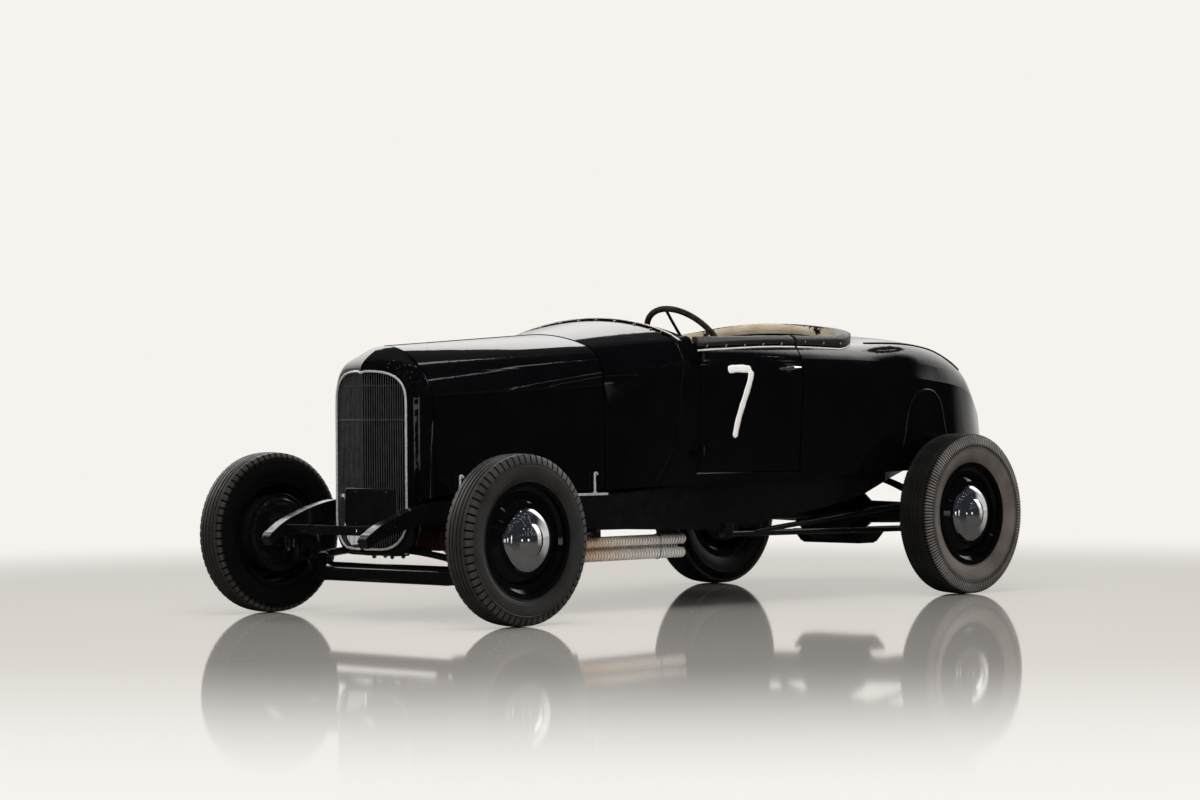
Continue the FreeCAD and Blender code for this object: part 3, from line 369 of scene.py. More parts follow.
# For each end: the tyre's radius, half its width, where its grooves lie and how wide they are,
# the count of lugs, the share of gap between them, how far their notches reach down the wall,
# and the ribs (radius, height) on the wall. Millimetres; the bead sits on the rim's own edge.
RIM_HALF, BEAD_LOW, BEAD_HIGH = 57.7, 206.3, 221
for end, radius, half, grooves, count, gap, notch_low, ribs in [
        ("front", 324.0, 68.0, [(x, 5.0) for x in (10.5, 27.5)], 64, 0.28, 30,
         [(285, 1.2), (281, -1.0), (246, 0.8), (228, -1.5)]),
        ("rear", 348.0, 81.5, [(x, 3.4) for x in (8, 19, 30, 41, 52)], 156, 0.45, 46,
         [(296, 0.9), (290, -1.8), (286, 0.9), (238, 0.6), (226, -1.2)])]:
    tread, crown = half - 14, radius - 4
    bulge = half - (RIM_HALF + tread) / 2
    chord = Vector((RIM_HALF - tread, BEAD_HIGH - crown))
    bend = (chord.length ** 2 / 4 + bulge ** 2) / (2 * bulge)
    side = Vector((chord.y, -chord.x)).normalized()
    heart = Vector((tread, crown)) + chord / 2 + side * math.sqrt(bend ** 2 - chord.length ** 2 / 4)

    def wall_at(r, depth):
        """A point on the side wall, in from the outside by a depth."""
        out = Vector((math.sqrt(bend ** 2 - (r - heart.y) ** 2), r - heart.y)) * (1 - depth / bend)
        return heart + out

    def crown_at(x, depth):
        """A point on the rounded tread, in from the outside by a depth."""
        return Vector((x, radius - 4 * (x / tread) ** 2 - depth))

    half_line = []
    for x in range(0, int(tread) - 12, 2):
        sunk = any(abs(x - g) <= w / 2 + 0.6 for g, w in grooves)
        half_line.append(crown_at(x, 7.5 if sunk else 0.4))
    edge = tread - 9
    half_line += [crown_at(edge - 2, 0.5), crown_at(edge, 3.2)]
    low = crown - notch_low
    half_line += [wall_at(r, 3.2) for r in (crown - 1, crown - 8, crown - 16, crown - 24, low)]
    half_line.append(wall_at(low - 2, 0.4))
    for r in range(int(low) - 5, BEAD_HIGH, -3):
        raised = sum(h for at_r, h in ribs if abs(r - at_r) < 2)
        half_line.append(wall_at(r, 1.4 - raised))
    half_line += [Vector((RIM_HALF - 0.3, r)) for r in (BEAD_HIGH, BEAD_LOW)]
    ring = [(-p.x, p.y) for p in reversed(half_line) if p.x > 0] + [tuple(p) for p in half_line]
    ring = turned(ring, 120, unit=0.001)

    # one lug over the left shoulder and one over the right, each a strip with closed sides
    bm = bmesh.new()
    swing = math.pi / count * (1 - gap)
    path = [crown_at(edge - 2.5, 0.45), Vector((tread - 2, crown - 0.2))]
    path += [wall_at(r, 0.4) for r in (crown - 4, crown - 11, crown - 19, low - 0.5)]
    for s in (1, -1):
        rows = []
        for p in path:
            inner = heart + (p - heart) * (1 - 5.5 / (p - heart).length)
            row = []
            for q, spread in ((inner, 1.18), (p, 1.0)):
                for a in (-swing * spread, swing * spread):
                    row.append(bm.verts.new((s * q.x / 1000, q.y * math.sin(a) / 1000,
                        q.y * math.cos(a) / 1000)))
            rows.append(row)
        for (a, b, c, d), (e, f, g, h) in zip(rows, rows[1:]):
            for corners in ((c, d, h, g), (a, c, g, e), (d, b, f, h), (a, b, f, e)):
                bm.faces.new(corners)
        for a, b, c, d in (rows[0], rows[-1]):
            bm.faces.new((a, b, d, c))
    outward(bm)
    lug_shape = bpy.data.objects.new("lug", kept(bm, smooth=False))
    whole_tyre = grown(lug_ring, ring, Lug=lug_shape, Count=count, Rubber=tyre_rubber[end])
    bpy.data.objects.remove(lug_shape)
    reach = whole_tyre.attributes.new("reach", "FLOAT", "POINT")
    reach.data.foreach_set("value", [math.hypot(v.co.y, v.co.z) for v in whole_tyre.vertices])
    # how strong the painted shade is at each point: deep in grooves and lug gaps, and over the whole
    # inner wall
    painted_shade = whole_tyre.attributes.new("painted_shade", "FLOAT", "POINT")
    depths = []
    for v in whole_tyre.vertices:
        across, r = abs(v.co.x) * 1000, math.hypot(v.co.y, v.co.z) * 1000
        if across < edge:
            deep = crown_at(across, 0.6).y - r
        else:
            deep = (bend - (Vector((across, r)) - heart).length - 1.0) if r > low - 1 else 0
        if v.co.x < -0.02 and r < crown - 12:        # the inner wall is painted dark all over, a painted shadow
            deep = max(deep, 2.0)
        depths.append(max(0.0, min(1.0, deep / 2.2)))
    painted_shade.data.foreach_set("value", depths)
    x, station = (715, 0) if end == "front" else (721, WHEELBASE)
    for side_name, s in SIDES:
        mesh = whole_tyre.copy()
        if s < 0:
            mesh.transform(Matrix.Rotation(math.pi, 4, "Z"))
        mesh.transform(moved(s * x, station, radius))
        corner = "%s_%s" % (end, side_name)
        piece("tyre_rubber_" + corner, mesh, "road_wheel_" + corner, None, ["tyre_" + corner],
            crisp=32)


# ---------------------------------------------------------------- black enamelled bodywork
# Hood halves, cowl, doors, tub, deck lid, grille shell and disc wheels: sheet steel in deep
# hand-rubbed black enamel, with a very faint ripple in the metal and a little dust.
def paint(names, material):
    """Gives the frame's own nodes a finish."""
    for name in names:
        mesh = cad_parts[name].data
        mesh.materials.clear()
        mesh.materials.append(material)


black_enamel = finish("black_enamel", "#040405", "#070708", 0.12, (0.03, 0.075), 0.05, 0.00004,
    Specular_IOR_Level=0.34)
CORNERS = ("front_left", "front_right", "rear_left", "rear_right")
paint(["cowl", "body_tub", "door_left", "door_right", "deck_lid", "hood_left", "hood_right",
    "hood_hinge", "grille_shell"] + ["wheel_" + corner for corner in CORNERS], black_enamel)

# ---------------------------------------------------------------- chassis and running gear
# Frame rails, axles, springs and rods: forgings and pressings brushed with a harder, slightly
# orange-peeled black, which keeps soft highlights along their edges.
chassis_enamel = finish("chassis_enamel", "#070708", "#0e0e0f", 0.05, (0.1, 0.22), 0.02, 0.00005,
    Specular_IOR_Level=0.5)
tree, shader, spot = opened(chassis_enamel)
edges = add(tree, "ShaderNodeBevel", {"Radius": 0.004}, samples=4)
tree.links.new(edges.outputs[0], shader.inputs["Normal"].links[0].from_node.inputs["Normal"])
paint(["side_rails", "crossmembers", "spreader_bar", "front_axle", "front_spring", "rear_spring",
    "radius_rods", "rear_axle", "ladder_bars", "knuckle_left", "knuckle_right", "tie_rod",
    "steering_column"], chassis_enamel)

# ---------------------------------------------------------------- hub caps and brake drums
# Pressed brass caps under polished chrome, with the odd hairline; iron drums behind, rough
# from the sand mould with a dry brown bloom.
chrome = finish("polished_chrome", "#d0d0d1", "#e2e2e2", 0.04, (0.025, 0.09), 0.02, 0.00002,
    Metallic=1.0)
paint(["hub_cap_" + corner for corner in CORNERS] + ["door_handle_left", "door_handle_right"], chrome)
sand_cast_iron = finish("sand_cast_iron", "#161514", "#241f1b", 0.03, (0.5, 0.75), 0.004, 0.0006)
paint(["drum_" + corner for corner in CORNERS], sand_cast_iron)
core_black = finish("radiator_core_black", "#030303", "#070707", 0.03, (0.6, 0.8), 0.004, 0.0005,
    Specular_IOR_Level=0.2)
paint(["radiator"], core_black)

maroon_enamel = finish("maroon_engine_enamel", "#2b0709", "#3a0c0f", 0.06, (0.2, 0.4), 0.01, 0.0002)
paint(["engine"], maroon_enamel)

# ---------------------------------------------------------------- fixings
# Hex nuts and dome studs are turned once and set on points, foot down, along each point's own
# direction. A fixed seed clocks the hexagons differently, as a fitter leaves them.
fixings, given, result = recipe("fixings", Shape="Object", Seed="Int", Metal="Material")
aim = add(fixings, "GeometryNodeInputNamedAttribute", {"Name": "aim"}, data_type="FLOAT_VECTOR")
size = add(fixings, "GeometryNodeInputNamedAttribute", {"Name": "size"}, data_type="FLOAT")
stand = add(fixings, "FunctionNodeAlignRotationToVector", {"Vector": aim}, axis="Z")
clocked = add(fixings, "FunctionNodeRandomValue", {"Max": 6.28, "Seed": given["Seed"]})
spin = add(fixings, "FunctionNodeAxisAngleToRotation", {"Angle": clocked.outputs[1]})
turn = add(fixings, "FunctionNodeRotateRotation", {0: stand, 1: spin}, rotation_space="LOCAL")
shape = add(fixings, "GeometryNodeObjectInfo", {"Object": given["Shape"]})
spots = add(fixings, "GeometryNodeMeshToPoints", {"Mesh": given["Geometry"]})
setting = add(fixings, "GeometryNodeInstanceOnPoints", {"Points": spots,
    "Instance": shape.outputs["Geometry"], "Rotation": turn, "Scale": size})
delivered(fixings, setting, given["Metal"], result)


def stood(profile, sides, smooth=False):
    """A small solid turned about Z from (radius, height) points, in metres."""
    mesh = turned([(z, r) for r, z in profile], sides, loop=False)
    mesh.transform(Matrix.Rotation(-math.pi / 2, 4, "Y"))
    for face in mesh.polygons:
        face.use_smooth = smooth
    return bpy.data.objects.new("fixing", mesh)


HEX = stood([(0, 0), (1.0, 0), (1.0, 0.75), (0.86, 0.9), (0.5, 0.9), (0.5, 1.25), (0, 1.3)], 6)
DOME = stood([(0, 0), (1.0, 0), (0.92, 0.32), (0.66, 0.6), (0.34, 0.74), (0, 0.78)], 12, True)


def fixed(name, shape, places, body, metal):
    """Sets one shape on every (point, direction, radius), with radii in metres."""
    mesh = bpy.data.meshes.new("spots")
    mesh.from_pydata([p for p, d, r in places], [], [])
    mesh.attributes.new("aim", "FLOAT_VECTOR", "POINT").data.foreach_set("vector", [c
        for p, d, r in places for c in Vector(d).normalized()])
    mesh.attributes.new("size", "FLOAT", "POINT").data.foreach_set("value", [r for p, d, r in places])
    return piece(name, grown(fixings, mesh, Shape=shape, Seed=7, Metal=metal), body, None)


def strung(points, steps, cyclic=False, soft=True):
    """A curve led by points, or straight from each to the next."""
    line = bpy.data.curves.new("route", "CURVE")
    line.dimensions, line.resolution_u = "3D", steps
    run = line.splines.new("NURBS" if soft else "POLY")
    run.points.add(len(points) - 1)
    for spot, place in zip(run.points, points):
        spot.co = (*place, 1)
    run.use_cyclic_u = cyclic
    if soft:
        run.order_u, run.use_endpoint_u = 3, not cyclic
    return line


def tube(points, radius, cyclic=False, sides=5, soft=True):
    """A round bar along points, its ends closed; soft rounds its corners."""
    line = strung(points, 8, cyclic, soft)
    line.bevel_depth, line.bevel_resolution, line.use_fill_caps = radius, sides, True
    mesh = grown(None, line)
    for face in mesh.polygons:
        face.use_smooth = True
    return mesh


def merged(*meshes):
    """Several meshes as one."""
    bm = bmesh.new()
    for mesh in meshes:
        bm.from_mesh(mesh)
    return kept(bm)


def flipped(mesh):
    """The same mesh on the car's other side."""
    twin = mesh.copy()
    twin.transform(Matrix.Scale(-1, 4, (1, 0, 0)))
    twin.flip_normals()
    return twin


def oblong(half_x, half_y):
    """The corners of a rectangle."""
    return [(-half_x, -half_y), (half_x, -half_y), (half_x, half_y), (-half_x, half_y)]


def plate(outline, thickness, place):
    """A flat plate from (x, y) points in metres, with softened edges, put in place."""
    bm = bmesh.new()
    low = [bm.verts.new((x, y, 0)) for x, y in outline]
    face = bm.faces.new(low)
    lifted = bmesh.ops.extrude_face_region(bm, geom=[face])
    bmesh.ops.translate(bm, vec=(0, 0, thickness), verts=[v
        for v in lifted["geom"] if isinstance(v, bmesh.types.BMVert)])
    outward(bm)
    bmesh.ops.bevel(bm, geom=[e for e in bm.edges if e.calc_face_angle(0) > 0.5],
        offset=min(thickness * 0.3, 0.0015), segments=2, affect="EDGES")
    bmesh.ops.transform(bm, matrix=place, verts=bm.verts)
    return kept(bm, smooth=False)


# ---------------------------------------------------------------- front axle hardware
# Spring shackles and perch bolts, U-bolts under the front crossmember, king pin caps, and the
# pressed backing plates of the front brakes with their anchor bolts.
plated_steel = finish("oiled_zinc_plate", "#5c5a57", "#7b7874", 0.02, (0.22, 0.45), 0.004, 0.0002,
    Metallic=1.0)
bright_zinc = finish("bright_zinc", "#c4c4c2", "#dededc", 0.02, (0.18, 0.34), 0.004, 0.00005,
    Metallic=0.45)
AXLE_HIGH, KING_PIN = 324, 603
link = [(0.012 * c + math.copysign(0.013, c), 0.012 * h) for c, h in circle(20)]
for side, s in SIDES:
    tilt = Matrix.Rotation(math.radians(s * 44), 4, "Y") @ Matrix.Rotation(math.pi / 2, 4, "X")
    links = [plate(link, 0.006, moved(s * 414, y, 226) @ tilt) for y in (-27, 33)]
    eye = turned([(-0.024, 0.006), (-0.024, 0.014), (0.024, 0.014), (0.024, 0.006)], 24)
    eye.transform(Matrix.Rotation(math.pi / 2, 4, "Z"))
    eye.transform(moved(s * 405, 0, 238))
    clamp = tube([at(s * 52, y, z) for y, z in ((-29, 330), (-29, 262), (-24, 254), (24, 254),
        (29, 262), (29, 330))], 0.006)
    seat = plate(oblong(0.03, 0.036), 0.007, moved(s * 52, 0, 247))
    piece("spring_shackle_" + side, merged(*links, eye, clamp, seat), "chassis", chassis_enamel,
        crisp=35)
    # the backing plate: a pressed dish with a rolled lip, on the knuckle behind the wheel
    dish = turned([(662, 36), (652, 38), (648, 44), (648, 62), (653, 70), (653, 96), (649, 104),
        (649, 134), (655, 142), (655, 149), (650, 152), (650, 157), (656, 158), (664, 154), (664, 36)],
        72, unit=0.001)
    cylinder = turned([(-34, 0), (-34, 9), (-30, 13), (30, 13), (34, 9), (34, 0)], 20, loop=False,
        unit=0.001)
    cylinder.transform(Matrix.Rotation(math.pi / 2, 4, "Z"))
    cylinder.transform(Matrix.Translation((0.645, 0, 0.108)))
    dish = merged(dish, cylinder)
    dish.transform(moved(0, 0, AXLE_HIGH))
    piece("backing_plate_" + side, dish if s > 0 else flipped(dish), "steering_knuckle_" + side,
        chassis_enamel, crisp=35)
    # rows of bolts: place across, radius of the ring, how many, the first one's angle, size
    anchor = [(at(s * x, ring * c, AXLE_HIGH + ring * h), (-s, 0, 0), size)
        for x, ring, count, first, size in ((648, 53, 4, math.pi / 4, 0.0075),
        (649, 119, 6, 0.2, 0.005)) for c, h in circle(count, first)]
    anchor += [(at(s * KING_PIN, 0, AXLE_HIGH + 60 * up), (0, 0, up), 0.012) for up in (1, -1)]
    anchor += [(at(s * 652, y, z), (s, 0, 0), 0.007) for y in (-17, 17) for z in (276, 372)]
    fixed("knuckle_bolts_" + side, HEX, anchor, "steering_knuckle_" + side, plated_steel)
frame_bolts = []
for side, s in SIDES:
    for y, way in ((-39, -1), (33, 1)):
        frame_bolts += [(at(s * x, y, z), (0, way, 0), 0.010) for x, z in ((405, 238), (423, 214))]
    frame_bolts += [(at(s * 52, y, 247), (0, 0, -1), 0.009) for y in (-29, 29)]
    frame_bolts += [(at(s * 302, y, z), (s, 0, 0), 0.010) for y, z in ((-250, 372), (-190, 388))]
    frame_bolts += [(at(s * 404, 742, 330), (s, 0, 0), 0.012)]
fixed("frame_bolts", HEX, frame_bolts, "chassis", plated_steel)
fixed("track_rod_nuts", HEX, [(at(s * KING_PIN, 125, 180), (0, 0, -1), 0.011) for s in (1, -1)],
    "track_rod", plated_steel)

# ---------------------------------------------------------------- grille bars and bead
# Thin upright rods of half-polished steel in a shallow V on three cross bars, their grey partly a
# painted highlight, and a bright rolled bead round the opening that dips where the two halves meet.
SLOPE, FACE = 0.26, -136
MOUTH_HALF, ROD_GAP = 199, 10.4


def mouth_top(x):
    return 850 + 114 * (1 - (abs(x) / 200) ** 3.2) ** (1 / 2.4)


def mouth_foot(x):
    return 278 if abs(x) < 88 else 390 - math.sqrt(112 ** 2 - (abs(x) - 88) ** 2)


slats, given, result = recipe("slats", Width="Float", Metal="Material")
runs = add(slats, "GeometryNodeMeshToCurve", {"Mesh": given["Geometry"]})
outline = add(slats, "GeometryNodeCurvePrimitiveCircle", {"Resolution": 10, "Radius": given["Width"]})
rods = add(slats, "GeometryNodeCurveToMesh", {"Curve": runs, "Profile Curve": outline,
    "Fill Caps": True})
smooth = add(slats, "GeometryNodeSetShadeSmooth", {0: rods})
delivered(slats, smooth, given["Metal"], result)
# the rods' light grey is partly a painted highlight, so that they show against the dark shell
grille_grey_with_painted_highlight = finish("dull_grille_steel", "#4a4a4c", "#626264", 0.03, (0.3, 0.45), 0.006, 0.0001,
    Metallic=0.5)
places = []
for k in range(-19, 20):
    x = k * ROD_GAP
    if abs(x) < MOUTH_HALF:
        places += [at(x, FACE + abs(x) * SLOPE + 5, z) for z in (mouth_foot(x) + 1, mouth_top(x) - 2)]
for z, back, half in ((776, 1.0, MOUTH_HALF), (424, 14, MOUTH_HALF), (909, 14, 184)):
    for s in (1, -1):
        places += [at(0, FACE + back, z), at(s * half, FACE + half * SLOPE + back, z)]
bars = bpy.data.meshes.new("bars")
bars.from_pydata(places, [(i, i + 1) for i in range(0, len(places), 2)], [])
piece("grille_rods", grown(slats, bars, Width=0.0016, Metal=grille_grey_with_painted_highlight), "chassis", None,
    ["grille"], crisp=40)
rim = []
for s in (1, -1):
    half = [(0, 957), (6, 960), (18, 963.5)] + [(x, mouth_top(x)) for x in (40, 70, 100, 125, 150, 170,
        185, 195, 199.5)]
    half += [(201, z) for z in range(830, 389, -40)]
    half += [(88 + 113 * math.cos(a), 390 - 113 * math.sin(a))
        for a in [0.15 * k for k in range(1, 10)]]
    half += [(x, 277) for x in (84, 60, 30)]
    half = [at(s * x, FACE + x * SLOPE - 4.5, z) for x, z in half]
    rim += half if s > 0 else list(reversed(half))[:-1]
piece("grille_bead", tube(rim, 0.0046, cyclic=True, soft=False), "chassis", bright_zinc)

# ---------------------------------------------------------------- blank plate
# A pressed steel plate with a raised rim and rounded corners, painted black and left bare of
# any marking, on two stays and four small bolts.
def rounded(half_x, half_z, radius, inset):
    """The points of a rectangle with round corners."""
    return [(math.copysign(half_x - radius, c) + (radius - inset) * c,
        math.copysign(half_z - radius, h) + (radius - inset) * h) for c, h in circle(32, math.pi / 32)]


bm = bmesh.new()
PLATE_X, PLATE_Z = 90.5, 438
loops = [[bm.verts.new(at(PLATE_X + x, y, PLATE_Z + z)) for x, z in rounded(152, 75.5, 17, inset)]
    for inset, y in ((0.5, -169.5), (0, -170.2), (0.6, -171.2), (2, -171.9), (5, -171.9), (7, -170.6),
    (9, -170.4))]
webbed(bm, loops, loop=True)
bm.faces.new(loops[0])
bm.faces.new(loops[-1])
outward(bm)
stays = [tube([at(x, -169.6, 446), at(x, FACE + x * SLOPE - 1, 446)], 0.0035) for x in (19.5, 136.5)]
plate_enamel = finish("baked_plate_enamel", "#060607", "#0b0b0d", 0.03, (0.12, 0.24), 0.03, 0.00002)
piece("plate_blank", merged(kept(bm), *stays), "chassis", plate_enamel, ["licence_plate"],
    crisp=40)
fixed("plate_bolts", DOME, [(at(PLATE_X + x, -170.4, PLATE_Z + z), (0, -1, 0), 0.0042)
    for x in (-88, 88) for z in (60, -60)], "chassis", plated_steel)

# ---------------------------------------------------------------- door numbers
# A plain white 7 on each door, brushed on by hand in two strokes with a full round brush, so
# its ends are round and its edges wander a little.
def skin_of(*names):
    """The frame's own surfaces as one search tree."""
    points, faces = [], []
    for name in names:
        mesh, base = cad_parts[name].data, len(points)
        points += [v.co.copy() for v in mesh.vertices]
        faces += [[base + i for i in p.vertices] for p in mesh.polygons]
    return BVHTree.FromPolygons(points, faces)


signwriter_white = finish("signwriter_white", "#f2f0ec", "#fbfaf7", 0.05, (0.3, 0.45), 0.004, 0.0003)
DIGIT_MIDDLE, BRUSH = 1384, 13
for side, s in SIDES:
    door = skin_of("door_" + side)
    bm = bmesh.new()
    for stroke, lift in (([(1312, 967), (1345, 972), (1385, 973), (1425, 971), (1449, 968)], 0.0007),
            ([(1450, 966), (1441, 925), (1421, 872), (1396, 812), (1374, 752), (1362, 690)], 0.0010)):
        line = grown(None, strung([(u, z, 0) for u, z in stroke], 12))
        centre = [v.co.copy() for v in line.vertices]
        total = sum((b - a).length for a, b in zip(centre, centre[1:]))
        rows, along = [], 0.0
        for k, p in enumerate(centre):
            ahead = (centre[min(k + 1, len(centre) - 1)] - centre[max(k - 1, 0)]).normalized()
            if k:
                along += (p - centre[k - 1]).length
            near = min(along, total - along)
            wide = 15.5 + 0.7 * math.sin(along / 11) + 0.5 * math.sin(along / 4.7 + 1)
            if near < BRUSH:
                wide *= math.sqrt(max(0.02, 1 - ((BRUSH - near) / BRUSH) ** 2))
            row = []
            for t in (-1, -0.5, 0, 0.5, 1):
                q = p + Vector((-ahead.y, ahead.x, 0)) * wide * t
                u = q.x if s > 0 else 2 * DIGIT_MIDDLE - q.x
                met = door.ray_cast(at(s * 900, u, q.y), Vector((-s, 0, 0)))[0]
                row.append(bm.verts.new(met + Vector((s * lift * (1 if abs(t) < 1 else 0.5), 0, 0))))
            rows.append(row)
        webbed(bm, rows)
    outward(bm)
    bm.normal_update()
    if sum(f.normal.x * s for f in bm.faces) < 0:
        bmesh.ops.reverse_faces(bm, faces=bm.faces)
    bmesh.ops.solidify(bm, geom=bm.faces[:], thickness=0.0006)
    piece("door_number_" + side, kept(bm), side + "_door", signwriter_white)

# ---------------------------------------------------------------- hood hold-downs
# Spring hooks that reach up from the frame over small pegs on the hood sides, with a bright
# wear strip along the rail top under the rear one.
hooks, pegs = [], {1: [], -1: []}
for s in (1, -1):
    hood = skin_of("hood_left" if s > 0 else "hood_right")
    for station in (88, 734):
        met = hood.ray_cast(at(s * 900, station, 548), Vector((-s, 0, 0)))[0]
        x = abs(met.x) * 1000
        foot = x + 13
        hooks.append(tube([at(s * foot, station, z) for z in (470, 500, 530, 548)] +
            [at(s * (foot - 2), station + 2, 558), at(s * (foot - 3), station + 14, 560),
            at(s * (foot - 3), station + 20, 552)], 0.0042))
        hooks.append(tube([at(s * foot + 7 * c, station, 480 + 7 * h) for c, h in circle(8)], 0.0028,
            cyclic=True))
        spring = [at(s * foot + 5 * math.cos(0.9 * k), station + 5 * math.sin(0.9 * k), 492 + 0.62 * k)
            for k in range(48)]
        hooks.append(tube(spring, 0.0013, soft=False, sides=2))
        pegs[s].append((at(s * x, station + 18, 548), (s, 0, 0.1), 0.006))
    hooks.append(plate(oblong(0.005, 0.08), 0.003, moved(s * 406, 722, 474) @
        Matrix.Rotation(-s * 0.1, 4, "Z") @ Matrix.Rotation(math.pi / 2, 4, "Y")))
piece("hood_hooks", merged(*hooks), "chassis", bright_zinc, crisp=40)
for side, s in SIDES:
    fixed("hood_pegs_" + side, DOME, pegs[s], "hood_half_" + side, chrome)

# ---------------------------------------------------------------- exhausts
# Three lengths of bare interlocked steel hose on each side. Heat has blued and browned them
# near the block; a wire tie holds the three together, hung from the rail.
ribbed, given, result = recipe("ribbed_hose", Radius="Float", Rise="Float", Pitch="Float",
    Metal="Material")
step = add(ribbed, "ShaderNodeMath", {0: given["Pitch"], 1: 0.16667}, operation="MULTIPLY")
even = add(ribbed, "GeometryNodeResampleCurve", {"Curve": given["Geometry"], "Length": step},
    mode="LENGTH")
run = add(ribbed, "GeometryNodeSplineParameter")
turns = add(ribbed, "ShaderNodeMath", {0: run.outputs["Length"], 1: given["Pitch"]}, operation="DIVIDE")
phase = add(ribbed, "ShaderNodeMath", {0: turns, 1: 2 * math.pi}, operation="MULTIPLY")
wave = add(ribbed, "ShaderNodeMath", {0: phase}, operation="SINE")
swell = add(ribbed, "ShaderNodeMath", {0: wave, 1: given["Rise"], 2: given["Radius"]},
    operation="MULTIPLY_ADD")
marked = add(ribbed, "GeometryNodeStoreNamedAttribute", {"Geometry": even, "Name": "rib",
    "Value": wave}, data_type="FLOAT")
sized = add(ribbed, "GeometryNodeSetCurveRadius", {"Curve": marked, "Radius": swell})
ring = add(ribbed, "GeometryNodeCurvePrimitiveCircle", {"Resolution": 24, "Radius": 1.0})
skin = add(ribbed, "GeometryNodeCurveToMesh", {"Curve": sized, "Profile Curve": ring, "Scale": swell,
    "Fill Caps": True})
smooth = add(ribbed, "GeometryNodeSetShadeSmooth", {0: skin})
delivered(ribbed, smooth, given["Metal"], result)

# the hose's near-white colour is partly a painted reflection of the pale floor
flexible_steel = finish("interlocked_steel", "#efebe6", "#f8f6f3", 0.03, (0.22, 0.30), 0.06, 0.00001,
    Metallic=0.2)
tree, shader, spot = opened(flexible_steel)
along = add(tree, "ShaderNodeSeparateXYZ", {0: spot})
heat = add(tree, "ShaderNodeMapRange", {"Value": along.outputs["Y"], "From Min": -0.95,
    "From Max": -0.30})
warm = add(tree, "ShaderNodeValToRGB", {"Fac": heat}, stops=[(0.0, "#c39d78"), (1.0, "#ffffff"),
    (0.45, "#ecd3b9"), (0.7, "#fbf4ec")])
tint = multiplied(tree, shader, warm.outputs["Color"])
# the valleys between the ribs are painted darker, a painted shade
rib = add(tree, "ShaderNodeAttribute", attribute_name="rib")
valley = add(tree, "ShaderNodeMapRange", {"Value": rib.outputs["Fac"], "From Min": -0.45,
    "From Max": -1.0})
painted_valley_shade = add(tree, "ShaderNodeMix", {0: valley, 6: tint, 7: colour("#6a5f55")}, data_type="RGBA")
tree.links.new(painted_valley_shade.outputs[2], shader.inputs["Base Color"])
exhaust_soot = finish("exhaust_soot", "#0b0a09", "#15120f", 0.02, (0.7, 0.9), 0.003, 0.0004)
OUTER, INNER, HIGH, BETWEEN, LOW = 336, 288, 278, 250, 222
TIE, TIE_RADIUS = 1168, 24
for side, s in SIDES:
    hoses = []
    # for each hose: place across and up, the station of its bend, and that of its port
    for x, z, bend, port in ((OUTER, HIGH, 700, 400), (OUTER, LOW, 660, 270),
            (INNER, BETWEEN, 760, 530)):
        first, corner, last = at(s * 205, port, 430), at(s * x, bend, z), at(s * x, 1321, z)
        route = [first, first.lerp(corner, 0.5), first.lerp(corner, 0.86), corner,
            corner.lerp(last, 0.12), corner.lerp(last, 0.5), last]
        hose = grown(ribbed, strung(route, 10), Radius=0.0208, Rise=0.0013, Pitch=0.0165,
            Metal=flexible_steel)
        bm = bmesh.new()
        bm.from_mesh(hose)
        end = max(bm.faces, key=lambda f: f.calc_center_median().y if len(f.verts) > 8 else -9)
        bmesh.ops.inset_individual(bm, faces=[end], thickness=0.0016)
        shut = bmesh.ops.extrude_discrete_faces(bm, faces=[end])["faces"][0]
        bmesh.ops.translate(bm, vec=(0, -0.07, 0), verts=shut.verts)
        for face in bm.faces:
            face.smooth = True
        shut.material_index = 1
        for edge in shut.edges:
            for face in edge.link_faces:
                face.material_index = 1
        hoses.append(kept(bm))
    whole = merged(*hoses)
    whole.materials.append(flexible_steel)
    whole.materials.append(exhaust_soot)
    piece("exhaust_hoses_" + side, whole, "chassis", None, ["exhausts"] if s > 0 else (),
        crisp=50)
    upper, lower = [[(OUTER + TIE_RADIUS * math.cos(a), z + TIE_RADIUS * math.sin(a)) for a in angles]
        for z, angles in ((HIGH, (-0.2, 0.4, 0.9, 1.5, 2.1)), (LOW, (4.1, 4.7, 5.3, 6.0, 6.4)))]
    wrap = upper + [(INNER - 20, 268), (INNER - 25, BETWEEN), (INNER - 20, 232)] + lower
    twist = [(336, 303), (338, 312), (346, 318), (350, 326), (344, 333), (337, 330), (338, 322),
        (352, 316), (372, 322), (384, 336)]
    wires = [tube([at(s * x, TIE, z) for x, z in points], thick, cyclic=points == wrap, sides=3)
        for points, thick in ((wrap, 0.0016), (twist, 0.0018))]
    piece("exhaust_ties_" + side, merged(*wires), "chassis", plated_steel)

# ---------------------------------------------------------------- cockpit roll and seats
# Stuffed black hide over horsehair: a roll round the cockpit rim in three lengths, tacked down,
# with a pleated seat and back. Each is swollen from a slimmer copy of its frame solid.
black_hide = finish("black_hide", "#100f0e", "#1c1a18", 0.03, (0.34, 0.55), 0.007, 0.0011)
cream_hide = finish("cream_hide", "#b59a76", "#d8cdb8", 0.16, (0.45, 0.65), 0.006, 0.0006,
    ends=(0.36, 0.62))


